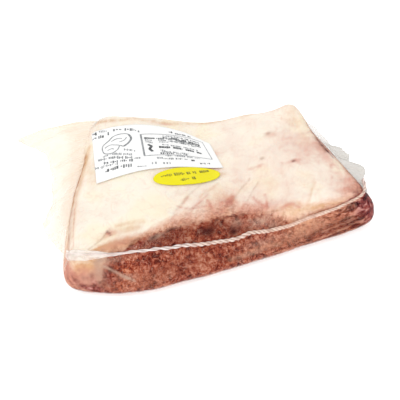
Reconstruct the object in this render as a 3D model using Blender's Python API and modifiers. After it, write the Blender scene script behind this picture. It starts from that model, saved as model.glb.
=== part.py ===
"""Raw ribeye cap, vacuum packed: a slab of beef with a fat cap, shrunk into a clear bag.

The bag's spare film stands off the slab as a flap on the left, a crumpled ear on the right
and a rolled pleat along the front and the back. A white label and a yellow oval sticker
lie on top. Metres, +Z up, front towards -Y, standing on z = 0 over the middle of its box.
"""

import math

import bmesh
import bpy
import numpy as np
from mathutils import Matrix, Vector

# ---------------------------------------------------------------- driving dimensions
BOX_MIDDLE = (0.0018, 0.0300)      # the whole pack's middle, seen from the slab's own zero

SLAB_HEIGHT = 0.048                # resting face to the plain part of the top
SLAB_CORE = (0.005, 0.010)         # the slab's middle in plan
BOTTOM_ROUND = 0.011               # radius of the lower rim
TOP_ROUND = 0.013                  # radius of the upper rim
SLAB_ROWS = (38, 24, 7)            # facets along X, Y and Z
ROW_CROWDING = 0.62                # 0 is even rows, 1 is all of them at the rims

# The slab's outline low down and at the top, from the front left corner round to the
# right: bowed trapezoids. The cut front leans back towards the top in its middle, and the
# front right corner bulges low down.
BASE_OUTLINE = [
    (-0.1395, -0.0610), (-0.1060, -0.0825), (-0.0680, -0.0895), (0.000, -0.084), (0.075, -0.0735),
    (0.130, -0.065), (0.1585, -0.0525), (0.1575, -0.022), (0.140, 0.030), (0.128, 0.084),
    (0.085, 0.100), (0.030, 0.107), (-0.030, 0.117), (-0.086, 0.124), (-0.112, 0.062),
    (-0.130, 0.002),
]
TOP_OUTLINE = [
    (-0.132, -0.066), (-0.108, -0.073), (-0.068, -0.073), (0.000, -0.062), (0.075, -0.058),
    (0.120, -0.0590), (0.1440, -0.0510), (0.1415, -0.016), (0.133, 0.030), (0.124, 0.079),
    (0.085, 0.093), (0.030, 0.100), (-0.030, 0.110), (-0.079, 0.117), (-0.1015, 0.058),
    (-0.1215, 0.000),
]
CORNER_POINTS = (0, 6, 9, 13)      # front left, front right, back right, back left
CURVE_STEPS = 8                    # straight pieces between two outline points

# Relief of the top: height, X, Y, and reach along X and Y of each swell or hollow.
TOP_RELIEF = [
    (0.008, -0.055, 0.055, 0.042, 0.075),     # crest under the label
    (-0.009, 0.034, 0.050, 0.038, 0.150),     # valley across the middle
    (-0.003, -0.105, 0.060, 0.030, 0.080),    # left of the label
    (0.010, 0.118, 0.078, 0.014, 0.016),      # lump in the back right corner
    (0.003, 0.095, 0.010, 0.040, 0.060),      # swell on the right
]

FILM_THICKNESS = 0.0012            # two plies of film with the air between them
FILM_ROOT = 0.92                   # a flap's root, as a share of the way out to the wall
FILM_WAVE = 0.0022                 # height of the ripples in a flap
FILM_DROOP = 1.8                   # 1 is a straight slope, more hangs down at the edge
LINE_STEPS = 12                    # straight pieces between two points of a smooth line

# A line on the slab is a list of places, each given by its turn (0 to 4, a whole number
# at each corner, from the front left to the right) and its level (-1 at the lower rim, 1
# at the upper rim). A flap's root is such a line. Its free edge is a list of X, Y and Z
# from the same end to the other. A pleat follows such a line.
LEFT_ROOT = [(4.04, 0.50), (3.50, 0.50), (3.05, 0.90)]
LEFT_EDGE = [
    (-0.139, -0.062, 0.022), (-0.138, -0.032, 0.014), (-0.149, 0.012, 0.008),
    (-0.136, 0.050, 0.010), (-0.132, 0.108, 0.012), (-0.158, 0.148, 0.014),
]
LEFT_ROWS = (5, 18)
LEFT_RIPPLES = 2.5
RIGHT_ROOT = [(1.04, 0.60), (1.50, 0.50), (1.96, 0.50)]
RIGHT_EDGE = [
    (0.146, -0.050, 0.038), (0.157, -0.030, 0.036), (0.162, -0.010, 0.036),
    (0.154, 0.016, 0.036), (0.141, 0.032, 0.037), (0.137, 0.052, 0.037),
    (0.131, 0.082, 0.037),
]
RIGHT_ROWS = (5, 14)
RIGHT_RIPPLES = 3.0

PLEAT_RADIUS = 0.0019
FRONT_PLEAT = [
    (-0.03, 0.75), (0.02, 0.98), (0.10, 1.00), (0.18, 0.93), (0.25, 0.77), (0.33, 0.57),
    (0.40, 0.40), (0.47, 0.30), (0.53, 0.28), (0.575, 0.37), (0.64, 0.27), (0.70, 0.24),
    (0.78, 0.37), (0.86, 0.51), (0.955, 0.70), (1.02, 0.72),
]
BACK_PLEAT = [(2.02, 0.60), (2.25, 0.30), (2.45, 0.10), (2.70, 0.30), (2.97, 0.60)]
PLEAT_STEPS = 3

LABEL_GAP = 0.0005
LABEL_THICKNESS = 0.0004
LABEL_ROWS = (26, 15)
# The label's near and far edges, from left to right: 127 mm by 76 mm, creased and folded
# under towards its far right corner.
LABEL_NEAR = [(-0.0950, 0.0153), (-0.0600, 0.0160), (-0.0100, 0.0186), (0.0275, 0.0168)]
LABEL_FAR = [
    (-0.0864, 0.0905), (-0.0570, 0.0883), (-0.0250, 0.0842), (0.0040, 0.0737),
    (0.0247, 0.0558),
]

STICKER_ROWS = (14, 6)
STICKER_MIDDLE = (-0.0110, 0.0055)
STICKER_SIZE = (0.0660, 0.0245)
STICKER_TURN = math.radians(6.0)


# ---------------------------------------------------------------- scene and materials
def clear_scene():
    for thing in list(bpy.data.objects):
        bpy.data.objects.remove(thing, do_unlink=True)


def new_collection(name):
    group = bpy.data.collections.new(name)
    bpy.context.scene.collection.children.link(group)
    return group


def make_material(name, colour, roughness):
    material = bpy.data.materials.new(name)
    material.use_nodes = True
    shader = material.node_tree.nodes["Principled BSDF"]
    shader.inputs["Base Color"].default_value = (*colour, 1.0)
    shader.inputs["Roughness"].default_value = roughness
    shader.inputs["Metallic"].default_value = 0.0
    return material


def add_object(name, form, group, material=None):
    """Make an object of a bmesh, moved so that the pack's middle is over the origin."""
    bmesh.ops.translate(form, verts=form.verts, vec=(-BOX_MIDDLE[0], -BOX_MIDDLE[1], 0.0))
    mesh = bpy.data.meshes.new(name)
    form.to_mesh(mesh)
    form.free()
    thing = bpy.data.objects.new(name, mesh)
    group.objects.link(thing)
    if material:
        mesh.materials.append(material)
    return thing


# ---------------------------------------------------------------- the slab's surface
def spline(points, steps, closed):
    """Points of a smooth curve through the given points (Catmull-Rom)."""
    given = np.array(points, dtype=float)
    count = len(given)
    out = []
    for i in range(count if closed else count - 1):
        near = []
        for k in (i - 1, i, i + 1, i + 2):
            near.append(given[k % count] if closed else given[min(max(k, 0), count - 1)])
        for t in np.arange(steps) / steps:
            out.append(0.5 * (
                2 * near[1]
                + (near[2] - near[0]) * t
                + (2 * near[0] - 5 * near[1] + 4 * near[2] - near[3]) * t ** 2
                + (3 * near[1] - near[0] - 3 * near[2] + near[3]) * t ** 3
            ))
    if not closed:
        out.append(given[-1])
    return np.array(out)


def smooth_step(t):
    t = np.clip(t, 0.0, 1.0)
    return t * t * (3.0 - 2.0 * t)


class Outline:
    """The slab's wall, by turn (0 to 4, a whole number at each corner) and height."""

    def __init__(self):
        self.base = spline(BASE_OUTLINE, CURVE_STEPS, closed=True)
        self.top = spline(TOP_OUTLINE, CURVE_STEPS, closed=True)
        ends = np.roll(self.base, -1, axis=0)
        runs = np.hypot(*(ends - self.base).T)
        self.along = np.concatenate([[0.0], np.cumsum(runs)[:-1]])
        self.length = runs.sum()
        tangents = np.roll(self.base, -1, axis=0) - np.roll(self.base, 1, axis=0)
        tangents /= np.hypot(*tangents.T)[:, None]
        self.normals = np.column_stack([tangents[:, 1], -tangents[:, 0]])
        corners = [self.along[number * CURVE_STEPS] for number in CORNER_POINTS]
        self.turns = np.arange(-4, 9)
        self.places = np.concatenate([
            np.array(corners) + lap * self.length for lap in (-1, 0, 1)
        ] + [[corners[0] + 2 * self.length]])

    def read(self, turn, table):
        at = np.interp(turn, self.turns, self.places)
        columns = [
            np.interp(at, self.along, table[:, k], period=self.length) for k in (0, 1)
        ]
        return np.column_stack(columns)

    def wall(self, turn, height):
        lean = smooth_step(height / SLAB_HEIGHT)[:, None]
        return (1.0 - lean) * self.read(turn, self.base) + lean * self.read(turn, self.top)

    def reach(self, turn):
        """Distance from the slab's middle to the line that touches the wall there."""
        out = self.read(turn, self.base) - SLAB_CORE
        return (out * self.read(turn, self.normals)).sum(axis=1)


def top_height(x, y):
    height = np.full(np.shape(x), SLAB_HEIGHT)
    for rise, at_x, at_y, reach_x, reach_y in TOP_RELIEF:
        away = ((x - at_x) / reach_x) ** 2 + ((y - at_y) / reach_y) ** 2
        height = height + rise * np.exp(-away)
    return height


def square_turn(a, b):
    """Turn (0 to 4) of a place around a square, from its front left corner to the right."""
    far = np.maximum(np.maximum(np.abs(a), np.abs(b)), 1e-9)
    a, b = a / far, b / far
    sides = [b <= -1 + 1e-9, a >= 1 - 1e-9, b >= 1 - 1e-9]
    turns = [(a + 1) / 2, 1 + (b + 1) / 2, 2 + (1 - a) / 2]
    return np.select(sides, turns, 3 + (1 - b) / 2)


def slab_places(outline, a, b, c):
    """Where each place of a cube, from -1 to 1 each way, lies on the slab's surface."""
    turn = square_turn(a, b)
    reach = outline.reach(turn)
    inset = (1.0 - np.maximum(np.abs(a), np.abs(b))) * reach
    drop = (1.0 - np.abs(c)) / 2 * SLAB_HEIGHT
    radius = np.where(c > 0, TOP_ROUND, BOTTOM_ROUND)
    tilt = math.pi / 4 * (1.0 + np.clip((inset - drop) / radius, -1.0, 1.0))
    in_rim = (inset < radius) & (drop < radius)
    inset = np.where(in_rim, radius * (1.0 - np.cos(tilt)), inset)
    drop = np.where(in_rim, radius * (1.0 - np.sin(tilt)), drop)
    level = np.where(c > 0, SLAB_HEIGHT - drop, drop)
    out = outline.wall(turn, level) - SLAB_CORE
    plan = SLAB_CORE + out * (1.0 - inset / reach)[:, None]
    x, y = plan.T
    return x, y, level * top_height(x, y) / SLAB_HEIGHT


def slab_line(outline, turn, level):
    """Places on the slab's wall or upper rim."""
    side, part = np.divmod(np.mod(turn, 4.0), 1.0)
    forward = 2.0 * part - 1.0
    a = np.select([side == 0, side == 1, side == 2], [forward, 1.0, -forward], -1.0)
    b = np.select([side == 0, side == 1, side == 2], [-1.0, forward, 1.0], -forward)
    return np.column_stack(slab_places(outline, a, b, level))


def slab_form(outline):
    """A cube divided into rows, each place then moved to the slab's surface."""
    form = bmesh.new()
    bmesh.ops.create_cube(form, size=2.0)
    for axis, rows in enumerate(SLAB_ROWS):
        along = []
        for edge in form.edges:
            run = edge.verts[1].co - edge.verts[0].co
            if abs(run[axis]) > 0.5 * run.length:
                along.append(edge)
        bmesh.ops.subdivide_edges(form, edges=along, cuts=rows - 1, use_grid_fill=True)
    grid = np.array([vert.co for vert in form.verts])
    crowd = ROW_CROWDING * math.pi / 2
    a, b = (np.sin(grid[:, k] * crowd) / math.sin(crowd) for k in (0, 1))
    places = slab_places(outline, a, b, grid[:, 2])
    for vert, place in zip(form.verts, zip(*places)):
        vert.co = place
    bmesh.ops.recalc_face_normals(form, faces=form.faces)
    return form


# ---------------------------------------------------------------- spare film
def read_line(points, along):
    """Places at the given shares of the way along a smooth line through the points."""
    line = spline(points, LINE_STEPS, closed=False)
    steps = np.linspace(0.0, 1.0, len(line))
    return np.column_stack([np.interp(along, steps, column) for column in line.T])


def flap_form(outline, root, edge, rows, ripples):
    """A rippled sheet from a root line inside the slab to the film's free edge."""
    form = bmesh.new()
    bmesh.ops.create_grid(form, x_segments=rows[0], y_segments=rows[1], size=1.0)
    grid = np.array([vert.co for vert in form.verts])
    out, along = (grid[:, 0] + 1) / 2, (grid[:, 1] + 1) / 2
    inner = slab_line(outline, *read_line(root, along).T)
    inner[:, :2] = SLAB_CORE + (inner[:, :2] - SLAB_CORE) * FILM_ROOT
    outer = read_line(edge, along)
    places = inner + (outer - inner) * out[:, None]
    places[:, 2] = inner[:, 2] + (outer[:, 2] - inner[:, 2]) * out ** FILM_DROOP
    places[:, 2] += FILM_WAVE * np.sin(along * ripples * math.tau + 2.1 * out) * out
    for vert, place in zip(form.verts, places):
        vert.co = place
    bmesh.ops.recalc_face_normals(form, faces=form.faces)
    return form


def thicken(thing, thickness, offset):
    wall = thing.modifiers.new("thickness", "SOLIDIFY")
    wall.thickness = thickness
    wall.offset = offset
    wall.use_rim = True


def pleat_object(name, outline, levels, group):
    """A rolled pleat of film that follows the slab's wall, as a closed mesh."""
    route = slab_line(outline, *spline(levels, PLEAT_STEPS, closed=False).T)
    route[:, :2] -= BOX_MIDDLE
    curve = bpy.data.curves.new(name, "CURVE")
    curve.dimensions = "3D"
    curve.bevel_depth = PLEAT_RADIUS
    curve.bevel_resolution = 2
    curve.use_fill_caps = True
    line = curve.splines.new("POLY")
    line.points.add(len(route) - 1)
    for point, place in zip(line.points, route):
        point.co = (*place, 1.0)
    source = bpy.data.objects.new(name + "_route", curve)
    group.objects.link(source)
    ready = source.evaluated_get(bpy.context.evaluated_depsgraph_get())
    mesh = bpy.data.meshes.new_from_object(ready)
    form = bmesh.new()
    form.from_mesh(mesh)
    bmesh.ops.remove_doubles(form, verts=form.verts, dist=0.00001)
    bmesh.ops.recalc_face_normals(form, faces=form.faces)
    form.to_mesh(mesh)
    form.free()
    thing = bpy.data.objects.new(name, mesh)
    thing.matrix_world = source.matrix_world
    group.objects.link(thing)
    bpy.data.objects.remove(source, do_unlink=True)
    return thing


def make_bag(parts, cutters, material):
    """The packed slab with its spare film, joined into one closed solid."""
    outline = Outline()
    bag = add_object("sealed_bag", slab_form(outline), parts, material)
    left = flap_form(outline, LEFT_ROOT, LEFT_EDGE, LEFT_ROWS, LEFT_RIPPLES)
    right = flap_form(outline, RIGHT_ROOT, RIGHT_EDGE, RIGHT_ROWS, RIGHT_RIPPLES)
    pieces = [add_object("left_flap", left, cutters), add_object("right_flap", right, cutters)]
    for flap in pieces:
        thicken(flap, FILM_THICKNESS, offset=0.0)
    pieces.append(pleat_object("front_pleat", outline, FRONT_PLEAT, cutters))
    pieces.append(pleat_object("back_pleat", outline, BACK_PLEAT, cutters))
    for piece in pieces:
        piece.hide_render = True
        piece.display_type = "WIRE"
        join = bag.modifiers.new("join_" + piece.name, "BOOLEAN")
        join.operation = "UNION"
        join.solver = "EXACT"
        join.object = piece
    bag.data.shade_smooth()
    bag.data.set_sharp_from_angle(angle=math.radians(50.0))
    return bag


# ---------------------------------------------------------------- label and sticker
def label_place(u, v):
    along = [(u + 1) / 2]
    near, far = (Vector(read_line(line, along)[0]) for line in (LABEL_NEAR, LABEL_FAR))
    return near.lerp(far, (v + 1) / 2)


def sticker_place(u, v):
    """A square's point moved into an ellipse, then turned and placed."""
    a = u * math.sqrt(1 - v * v / 2) * STICKER_SIZE[0] / 2
    b = v * math.sqrt(1 - u * u / 2) * STICKER_SIZE[1] / 2
    turned = Vector((a, b))
    turned.rotate(Matrix.Rotation(STICKER_TURN, 2))
    return turned + Vector(STICKER_MIDDLE)


def make_sheet(name, rows, place_of, bag, parts, material):
    """A sheet of paper laid on the bag from above, just clear of it."""
    form = bmesh.new()
    bmesh.ops.create_grid(form, x_segments=rows[0], y_segments=rows[1], size=1.0)
    for vert in form.verts:
        x, y = place_of(vert.co.x, vert.co.y)
        vert.co = (x, y, SLAB_HEIGHT * 2)
    sheet = add_object(name, form, parts, material)
    lay = sheet.modifiers.new("lay", "SHRINKWRAP")
    lay.target = bag
    lay.wrap_method = "PROJECT"
    lay.use_project_z = True
    lay.use_negative_direction = True
    lay.use_positive_direction = False
    lay.offset = LABEL_GAP
    thicken(sheet, LABEL_THICKNESS, offset=1.0)
    return sheet


def main():
    clear_scene()
    parts = new_collection("ribeye_cap_pack")
    cutters = new_collection("cutters")
    film = make_material("film_over_meat", (0.62, 0.40, 0.32), 0.25)
    paper = make_material("white_label_paper", (0.88, 0.88, 0.88), 0.45)
    yellow = make_material("yellow_sticker_paper", (0.88, 0.80, 0.03), 0.45)
    bag = make_bag(parts, cutters, film)
    make_sheet("main_label", LABEL_ROWS, label_place, bag, parts, paper)
    make_sheet("oval_sticker", STICKER_ROWS, sticker_place, bag, parts, yellow)


main()
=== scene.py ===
"""Looks of a raw ribeye cap shrunk into a clear bag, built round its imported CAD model.

The node sealed_bag is replaced by its contents, a slab of raw beef, and by the film over
it: the shrunk skin, a flap on the left, a crumpled ear on the right, a twisted pleat
along the front and the back, and a flat band where the front one opens out on the left.
The label and the sticker are paper with generic print. In metres where nothing else is
said, +Z up, front towards -Y. Places are worked out from the slab's own zero, and each
piece is then moved to the frame of the CAD model.
"""
import math

import bmesh
import bpy
import numpy as np
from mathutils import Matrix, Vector, noise
from mathutils.bvhtree import BVHTree


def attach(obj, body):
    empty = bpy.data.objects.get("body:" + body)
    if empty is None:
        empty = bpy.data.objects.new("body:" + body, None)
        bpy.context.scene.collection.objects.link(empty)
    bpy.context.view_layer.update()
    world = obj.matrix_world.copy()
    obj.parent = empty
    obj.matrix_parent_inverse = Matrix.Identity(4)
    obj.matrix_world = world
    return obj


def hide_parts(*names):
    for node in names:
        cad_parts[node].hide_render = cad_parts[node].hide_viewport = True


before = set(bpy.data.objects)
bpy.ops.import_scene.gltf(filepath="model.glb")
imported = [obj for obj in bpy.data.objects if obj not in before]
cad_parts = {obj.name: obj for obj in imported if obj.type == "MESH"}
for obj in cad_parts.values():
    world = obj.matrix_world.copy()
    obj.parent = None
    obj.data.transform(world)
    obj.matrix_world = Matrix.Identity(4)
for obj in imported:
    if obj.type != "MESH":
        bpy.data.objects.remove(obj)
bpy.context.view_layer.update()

# ---- the slab, as in the CAD
BOX_MIDDLE = (0.0018, 0.0300)      # the whole pack's middle, seen from the slab's own zero
SLAB_HEIGHT = 0.048
SLAB_CORE = (0.005, 0.010)
BOTTOM_ROUND = 0.011
TOP_ROUND = 0.013
ROW_CROWDING = 0.62                # rows crowd towards the rim
RIM_WIDTH = 0.012                  # the top's own folds fade over this at its rim

# Outlines low down and at the top, from the front left corner round to the right.
BASE_OUTLINE = [
    (-0.1395, -0.061), (-0.106, -0.0825), (-0.068, -0.0895), (0, -0.084), (0.075, -0.0735),
    (0.13, -0.065), (0.1585, -0.0525), (0.1575, -0.022), (0.14, 0.03), (0.128, 0.084), (0.085, 0.1),
    (0.03, 0.107), (-0.03, 0.117), (-0.086, 0.124), (-0.112, 0.062), (-0.13, 0.002),
]
TOP_OUTLINE = [
    (-0.132, -0.066), (-0.108, -0.073), (-0.068, -0.073), (0, -0.062), (0.075, -0.058),
    (0.12, -0.059), (0.144, -0.051), (0.1415, -0.016), (0.133, 0.03), (0.124, 0.079), (0.085, 0.093),
    (0.03, 0.1), (-0.03, 0.11), (-0.079, 0.117), (-0.1015, 0.058), (-0.1215, 0),
]
CORNER_POINTS = (0, 6, 9, 13)
CURVE_STEPS = 24
LINE_STEPS = 12

# Relief of the top: height, X, Y, and reach along X and Y of each swell or hollow.
TOP_RELIEF = [
    (0.008, -0.055, 0.055, 0.042, 0.075),     # crest under the label
    (-0.009, 0.034, 0.050, 0.038, 0.150),     # valley across the middle
    (-0.003, -0.105, 0.060, 0.030, 0.080),    # left of the label
    (0.010, 0.118, 0.078, 0.014, 0.016),      # lump in the back right corner
    (0.003, 0.095, 0.010, 0.040, 0.060),      # swell on the right
]

# ---- the beef
MEAT_ROWS = (250, 116, 34)
MEAT_INSET = 0.0004                # the meat's skin below the bag's, which is the CAD's
MEAT_FOOT = 0.0006                 # the meat's underside above the bag's
LEAN_GRAIN = (0.0050, 0.0034, 0.0034)       # size of the torn bundles' lumps
GRAIN_DEPTH = 0.0004
CLEFT_DEPTH = 0.0005
DIMPLE_DEPTH = 0.0002              # dimples of the fat
SIDE_RUN = (300.0, 140.0, 230.0, 190.0)     # millimetres along the four sides

# Where fat gives way to lean: turn, millimetres down from the upper rim (less than 0 is
# in from the rim, over the top), and the widths of the ragged change and of the stain in
# the fat beside it, in millimetres.
LEAN_EDGE = [
    (0, 44, 3, 46), (0.08, 44, 3.5, 46), (0.11, 34, 4, 30), (0.122, 28, 4, 15), (0.132, 21, 4, 15),
    (0.144, 13, 3.5, 16), (0.152, 3, 2, 20), (0.192, 1.5, 2, 22), (0.203, -3.5, 3, 20),
    (0.224, -9.5, 4.5, 20), (0.262, -12, 5, 22), (0.3, -11.5, 5, 26), (0.345, -10.5, 4, 32),
    (0.382, -8, 5, 38), (0.417, -6, 6, 42), (0.46, -5, 7, 46), (0.497, -8.5, 7, 46),
    (0.537, -9, 7, 46), (0.57, -7, 7, 46), (0.595, -4, 7, 44), (0.615, 0, 7, 42), (0.633, 4, 7, 38),
    (0.652, 9, 8, 34), (0.672, 17, 8, 30), (0.695, 23, 8, 28), (0.73, 25, 8, 26), (0.787, 23, 7, 24),
    (0.82, 20, 7, 22), (0.85, 16, 7, 20), (0.885, 12.5, 7, 18), (0.918, 9.5, 6, 16),
    (0.945, 7.5, 4, 20), (1, 5, 2.5, 24), (1.08, 6, 2, 20), (1.18, 6, 2, 16), (1.3, 6, 2, 12),
    (1.45, 4, 2, 12), (1.7, 5, 2, 14), (1.82, 9, 2.5, 10), (1.95, 13, 3, 12), (2.05, 15, 3, 16),
    (2.3, 15, 5, 20), (2.6, 11, 5, 20), (2.9, 17, 4, 16), (3, 32, 3, 20), (3.1, 44, 3, 20),
    (3.5, 46, 3, 20), (3.9, 44, 3, 26),
]
STRAND_TURNS = (0.72, 0.84, 0.94, 1.00)     # where the lean's grain runs in long strands

# Marks that colour the beef, by name: blood-dark lean, dark clots, sinew with some painted
# sheen of the film, pale lean, pink and tan stains of the fat, and brown marks, partly
# painted shade along folds of the top.
MARK_NAMES = ("wine", "dark", "sinew_and_sheen", "pale", "blush", "tan", "brown")
# Spots on the wall: turn, then down from the rim, reach along and down in millimetres, and
# strength.
WALL_SPOTS = {
    "wine": [
        (0.985, 22, 15, 13, 1), (1.08, 22, 26, 16, 1), (1.45, 22, 40, 15, 0.6),
        (0.975, 13, 6, 5, 0.8), (1.45, 16, 40, 12, 0.9), (2.15, 30, 20, 10, 0.5),
        (0.085, 37, 6, 3, 0.9), (0.1, 32, 3.5, 5, 0.7), (0.06, 33.5, 4, 2.5, 0.8),
        (0.112, 40, 6, 4, 0.6), (0.038, 29, 3, 2.5, 0.6), (0.02, 24, 3, 2, 0.4),
        (0.234, -4, 3.5, 2.5, 0.6), (0.221, -1, 3, 2, 0.45), (0.147, 23, 4, 3.5, 0.5),
        (0.15, 29, 5, 3, 0.4),
    ],
    "dark": [
        (0.267, -6.9, 3, 3, 0.8), (0.318, -10, 5, 2.4, 0.9), (0.455, 5, 5, 4, 0.9),
        (0.432, 6, 4, 3.5, 0.6), (0.52, 11.2, 5, 4.5, 1), (0.565, 9.6, 4, 3, 0.7),
        (0.207, -4.5, 3, 3, 0.6), (0.14, 30, 5, 5, 0.5), (0.3, -2, 30, 6, 0.35),
        (0.09, 38, 6, 3, 0.4), (0.094, 23, 2, 3, 0.5), (0.066, 25, 2.5, 2, 0.3),
        (0.206, -10, 3, 3, 0.5), (0.87, 34, 30, 8, 0.4), (0.378, 28, 40, 10, 0.2),
        (0.47, 2, 24, 9, 0.35), (0.35, 3, 30, 8, 0.25),
    ],
    # sinew, and at turn 0.12 painted grey sheen of the film over the lean
    "sinew_and_sheen": [
        (0.12, 18, 5, 15, 0.85), (0.128, 7, 5, 5, 0.8), (0.195, 26, 9, 2.2, 0.4),
        (0.985, 26, 2, 1.6, 0.9), (0.276, -7, 7, 4.5, 1.1), (0.35, -12, 14, 3.5, 0.5),
        (0.54, 1, 7, 6, 0.7), (0.61, 6, 9, 7, 0.8), (0.645, 14, 5, 5, 0.6), (0.61, 26, 16, 3, 0.5),
        (0.57, 33, 14, 2, 0.5), (2.5, 24, 22, 2.5, 0.6), (0.078, 28, 9, 8, 0.45),
        (0.15, 11, 4, 5, 0.6), (0.18, 9, 6, 3, 0.4),
    ],
    "pale": [
        (0.775, 25, 23, 5, 0.8), (0.84, 17, 24, 4, 0.1), (0.9, 14, 12, 3.5, 0.4),
        (0.25, 34, 30, 8, 0.25), (2.3, 22, 30, 8, 0.5), (1.8, 26, 14, 8, 0.5),
        (0.715, 32, 22, 6, 0.55),
    ],
    "blush": [
        (0.03, 31, 16, 8, 0.6), (0.07, 22, 14, 12, 0.3), (3.96, 22, 12, 12, 0.6),
        (0.98, -8, 14, 8, 0.7), (0.65, -14, 22, 9, 0.6), (3.4, 26, 30, 10, 0.3),
        (0.16, -8, 20, 9, 0.5), (0.42, -18, 30, 8, 0.3), (0.035, 30, 20, 11, 0.7),
        (0.095, 30, 10, 10, 0.8), (3.97, 26, 12, 10, 0.6), (0.15, -14, 16, 10, 0.3),
    ],
    "tan": [
        (0.06, 12, 24, 9, 0.6), (0.05, 24, 22, 16, 0.4), (0.165, -8, 24, 10, 0.7),
        (0.1, -8, 14, 7, 0.7), (0.71, -2, 14, 6, 0.7), (0.77, 7, 22, 4, 0.7),
        (0.865, 4, 24, 3, 0.5), (2.6, 1, 60, 4, 0.25), (3.3, 22, 34, 20, 0.6),
        (3.7, 24, 50, 16, 0.6), (0.078, 12, 12, 8, 0.9), (0.145, -10, 18, 10, 0.6),
        (0.73, 25, 16, 5, 0.6),
    ],
    "brown": [
        (0.06, 24, 30, 20, 0.25),
    ],
}

# Lines on the wall: turn and millimetres down of their points, half their width in
# millimetres, strength.
WALL_LINES = {
    "wine": [
        ([(0.87, 10), (0.912, 6.8), (0.95, 4.2), (0.983, 2.6), (1.01, 2.4)], 1, 0.8),
        ([(1.72, -2.7), (1.65, -3.8), (1.59, -5.2), (1.53, -7)], 1.2, 0.5),
        ([(1.55, -6.4), (1.48, -7.4), (1.39, -8)], 3, 0.5),
        ([(1.41, -7.6), (1.355, -7), (1.3, -7.4)], 1.4, 0.45),
    ],
    "dark": [
        ([(0.505, -8.6), (0.53, -8.8), (0.545, -8.2)], 0.9, 1),
        ([(0.553, -9.6), (0.575, -9), (0.595, -7.4)], 0.8, 0.5),
        ([(0.66, 37), (0.7, 38.5), (0.74, 38)], 1, 0.9),
        ([(0.83, 29), (0.88, 28), (0.93, 25.5)], 0.9, 0.5),
        ([(0.7, 32), (0.76, 33), (0.8, 30.5)], 1.1, 0.4),
    ],
    # painted light streak of a film crease over the lean, beside the painted sheen
    "sinew_and_sheen": [
        ([(0.138, 15), (0.155, 18.4), (0.175, 22.4), (0.193, 26.4), (0.215, 30.5)], 1.3, 1),
    ],
    "pale": [
        ([(0.5, 33), (0.54, 32.5), (0.61, 30.5), (0.66, 32)], 2.2, 0.6),
        ([(0.64, 40), (0.7, 41.5), (0.78, 40), (0.86, 37)], 1.2, 0.7),
        ([(0.8, 33), (0.86, 31), (0.92, 28.5)], 0.9, 0.6),
        ([(0.84, 26), (0.89, 25.5), (0.94, 23)], 0.9, 0.5),
        ([(0.86, 36), (0.92, 33.5), (0.96, 31)], 0.9, 0.5),
        ([(0.3, 46.5), (0.45, 46.5), (0.6, 46), (0.75, 45), (0.9, 43)], 1.6, 0.8),
    ],
    "blush": [
        ([(3.66, -0.6), (3.8, -0.6), (3.95, -0.6)], 1, 0.6),
    ],
    "tan": [
        ([(3.24, -1), (3.5, -1), (3.7, -1), (3.88, 1)], 4, 0.45),
        ([(3.3, 4), (3.42, 7), (3.54, 8), (3.66, 7)], 4.5, 0.7),
    ],
    "brown": [
        ([(3.3, 8), (3.5, 9), (3.7, 9), (3.88, 12)], 7, 0.55),
        ([(3.34, 4), (3.4, 7), (3.48, 9), (3.56, 8)], 3.2, 0.25),
        ([(1.01, 1), (1.06, -1.2), (1.11, -1.6), (1.17, -2)], 1.5, 0.8),
        ([(1.6, -6), (1.5, -8.4), (1.4, -8.6)], 4.2, 0.6),
        ([(1.64, -1), (1.74, -0.5), (1.86, 0)], 1.2, 0.8),
        ([(0.605, -5), (0.64, -3.6), (0.668, -1)], 0.8, 0.7),
    ],
}

# Spots on the top: X, Y, and reach along X and Y in millimetres, strength.
TOP_SPOTS = {
    "wine": [
        (91.3, -1.4, 2.2, 1.4, 0.9),
    ],
    "sinew_and_sheen": [
        (82.5, 47.8, 3.5, 2, 0.9), (66.1, 15.6, 2.2, 2, 0.9),
    ],
    "blush": [
        (91.3, -1.4, 9, 3, 0.5), (85, 44, 6, 4, 0.4), (60, 7.1, 4.5, 2.2, 0.4),
        (52, 7.5, 3, 2.2, 0.4), (19, -33, 7, 6, 0.8), (-96, -50.9, 4.5, 3.5, 0.9),
        (25, 40, 9, 5, 0.4), (109, 19, 15, 23, 0.55), (125, 3, 8, 20, 0.5),
        (131, -42, 13, 12, 0.4), (70, -10, 70, 70, 0.15), (110, 83, 9, 6, 0.3),
        (-11.5, 89, 6, 2, 0.6), (127, -36, 10, 12, 0.3), (16, 18, 9, 5, 0.6),
        (0, -25, 30, 16, 0.2), (30, -30, 30, 20, 0.15),
    ],
    "tan": [
        (20.2, -31.1, 5, 6, 0.9), (110, 56, 12, 6, 0.3), (78, 88, 16, 3.5, 0.5),
        (116, 64, 8, 10, 0.3), (-98, 42, 5, 30, 0.3), (24, 9, 5, 3, 0.6),
    ],
}

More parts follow.
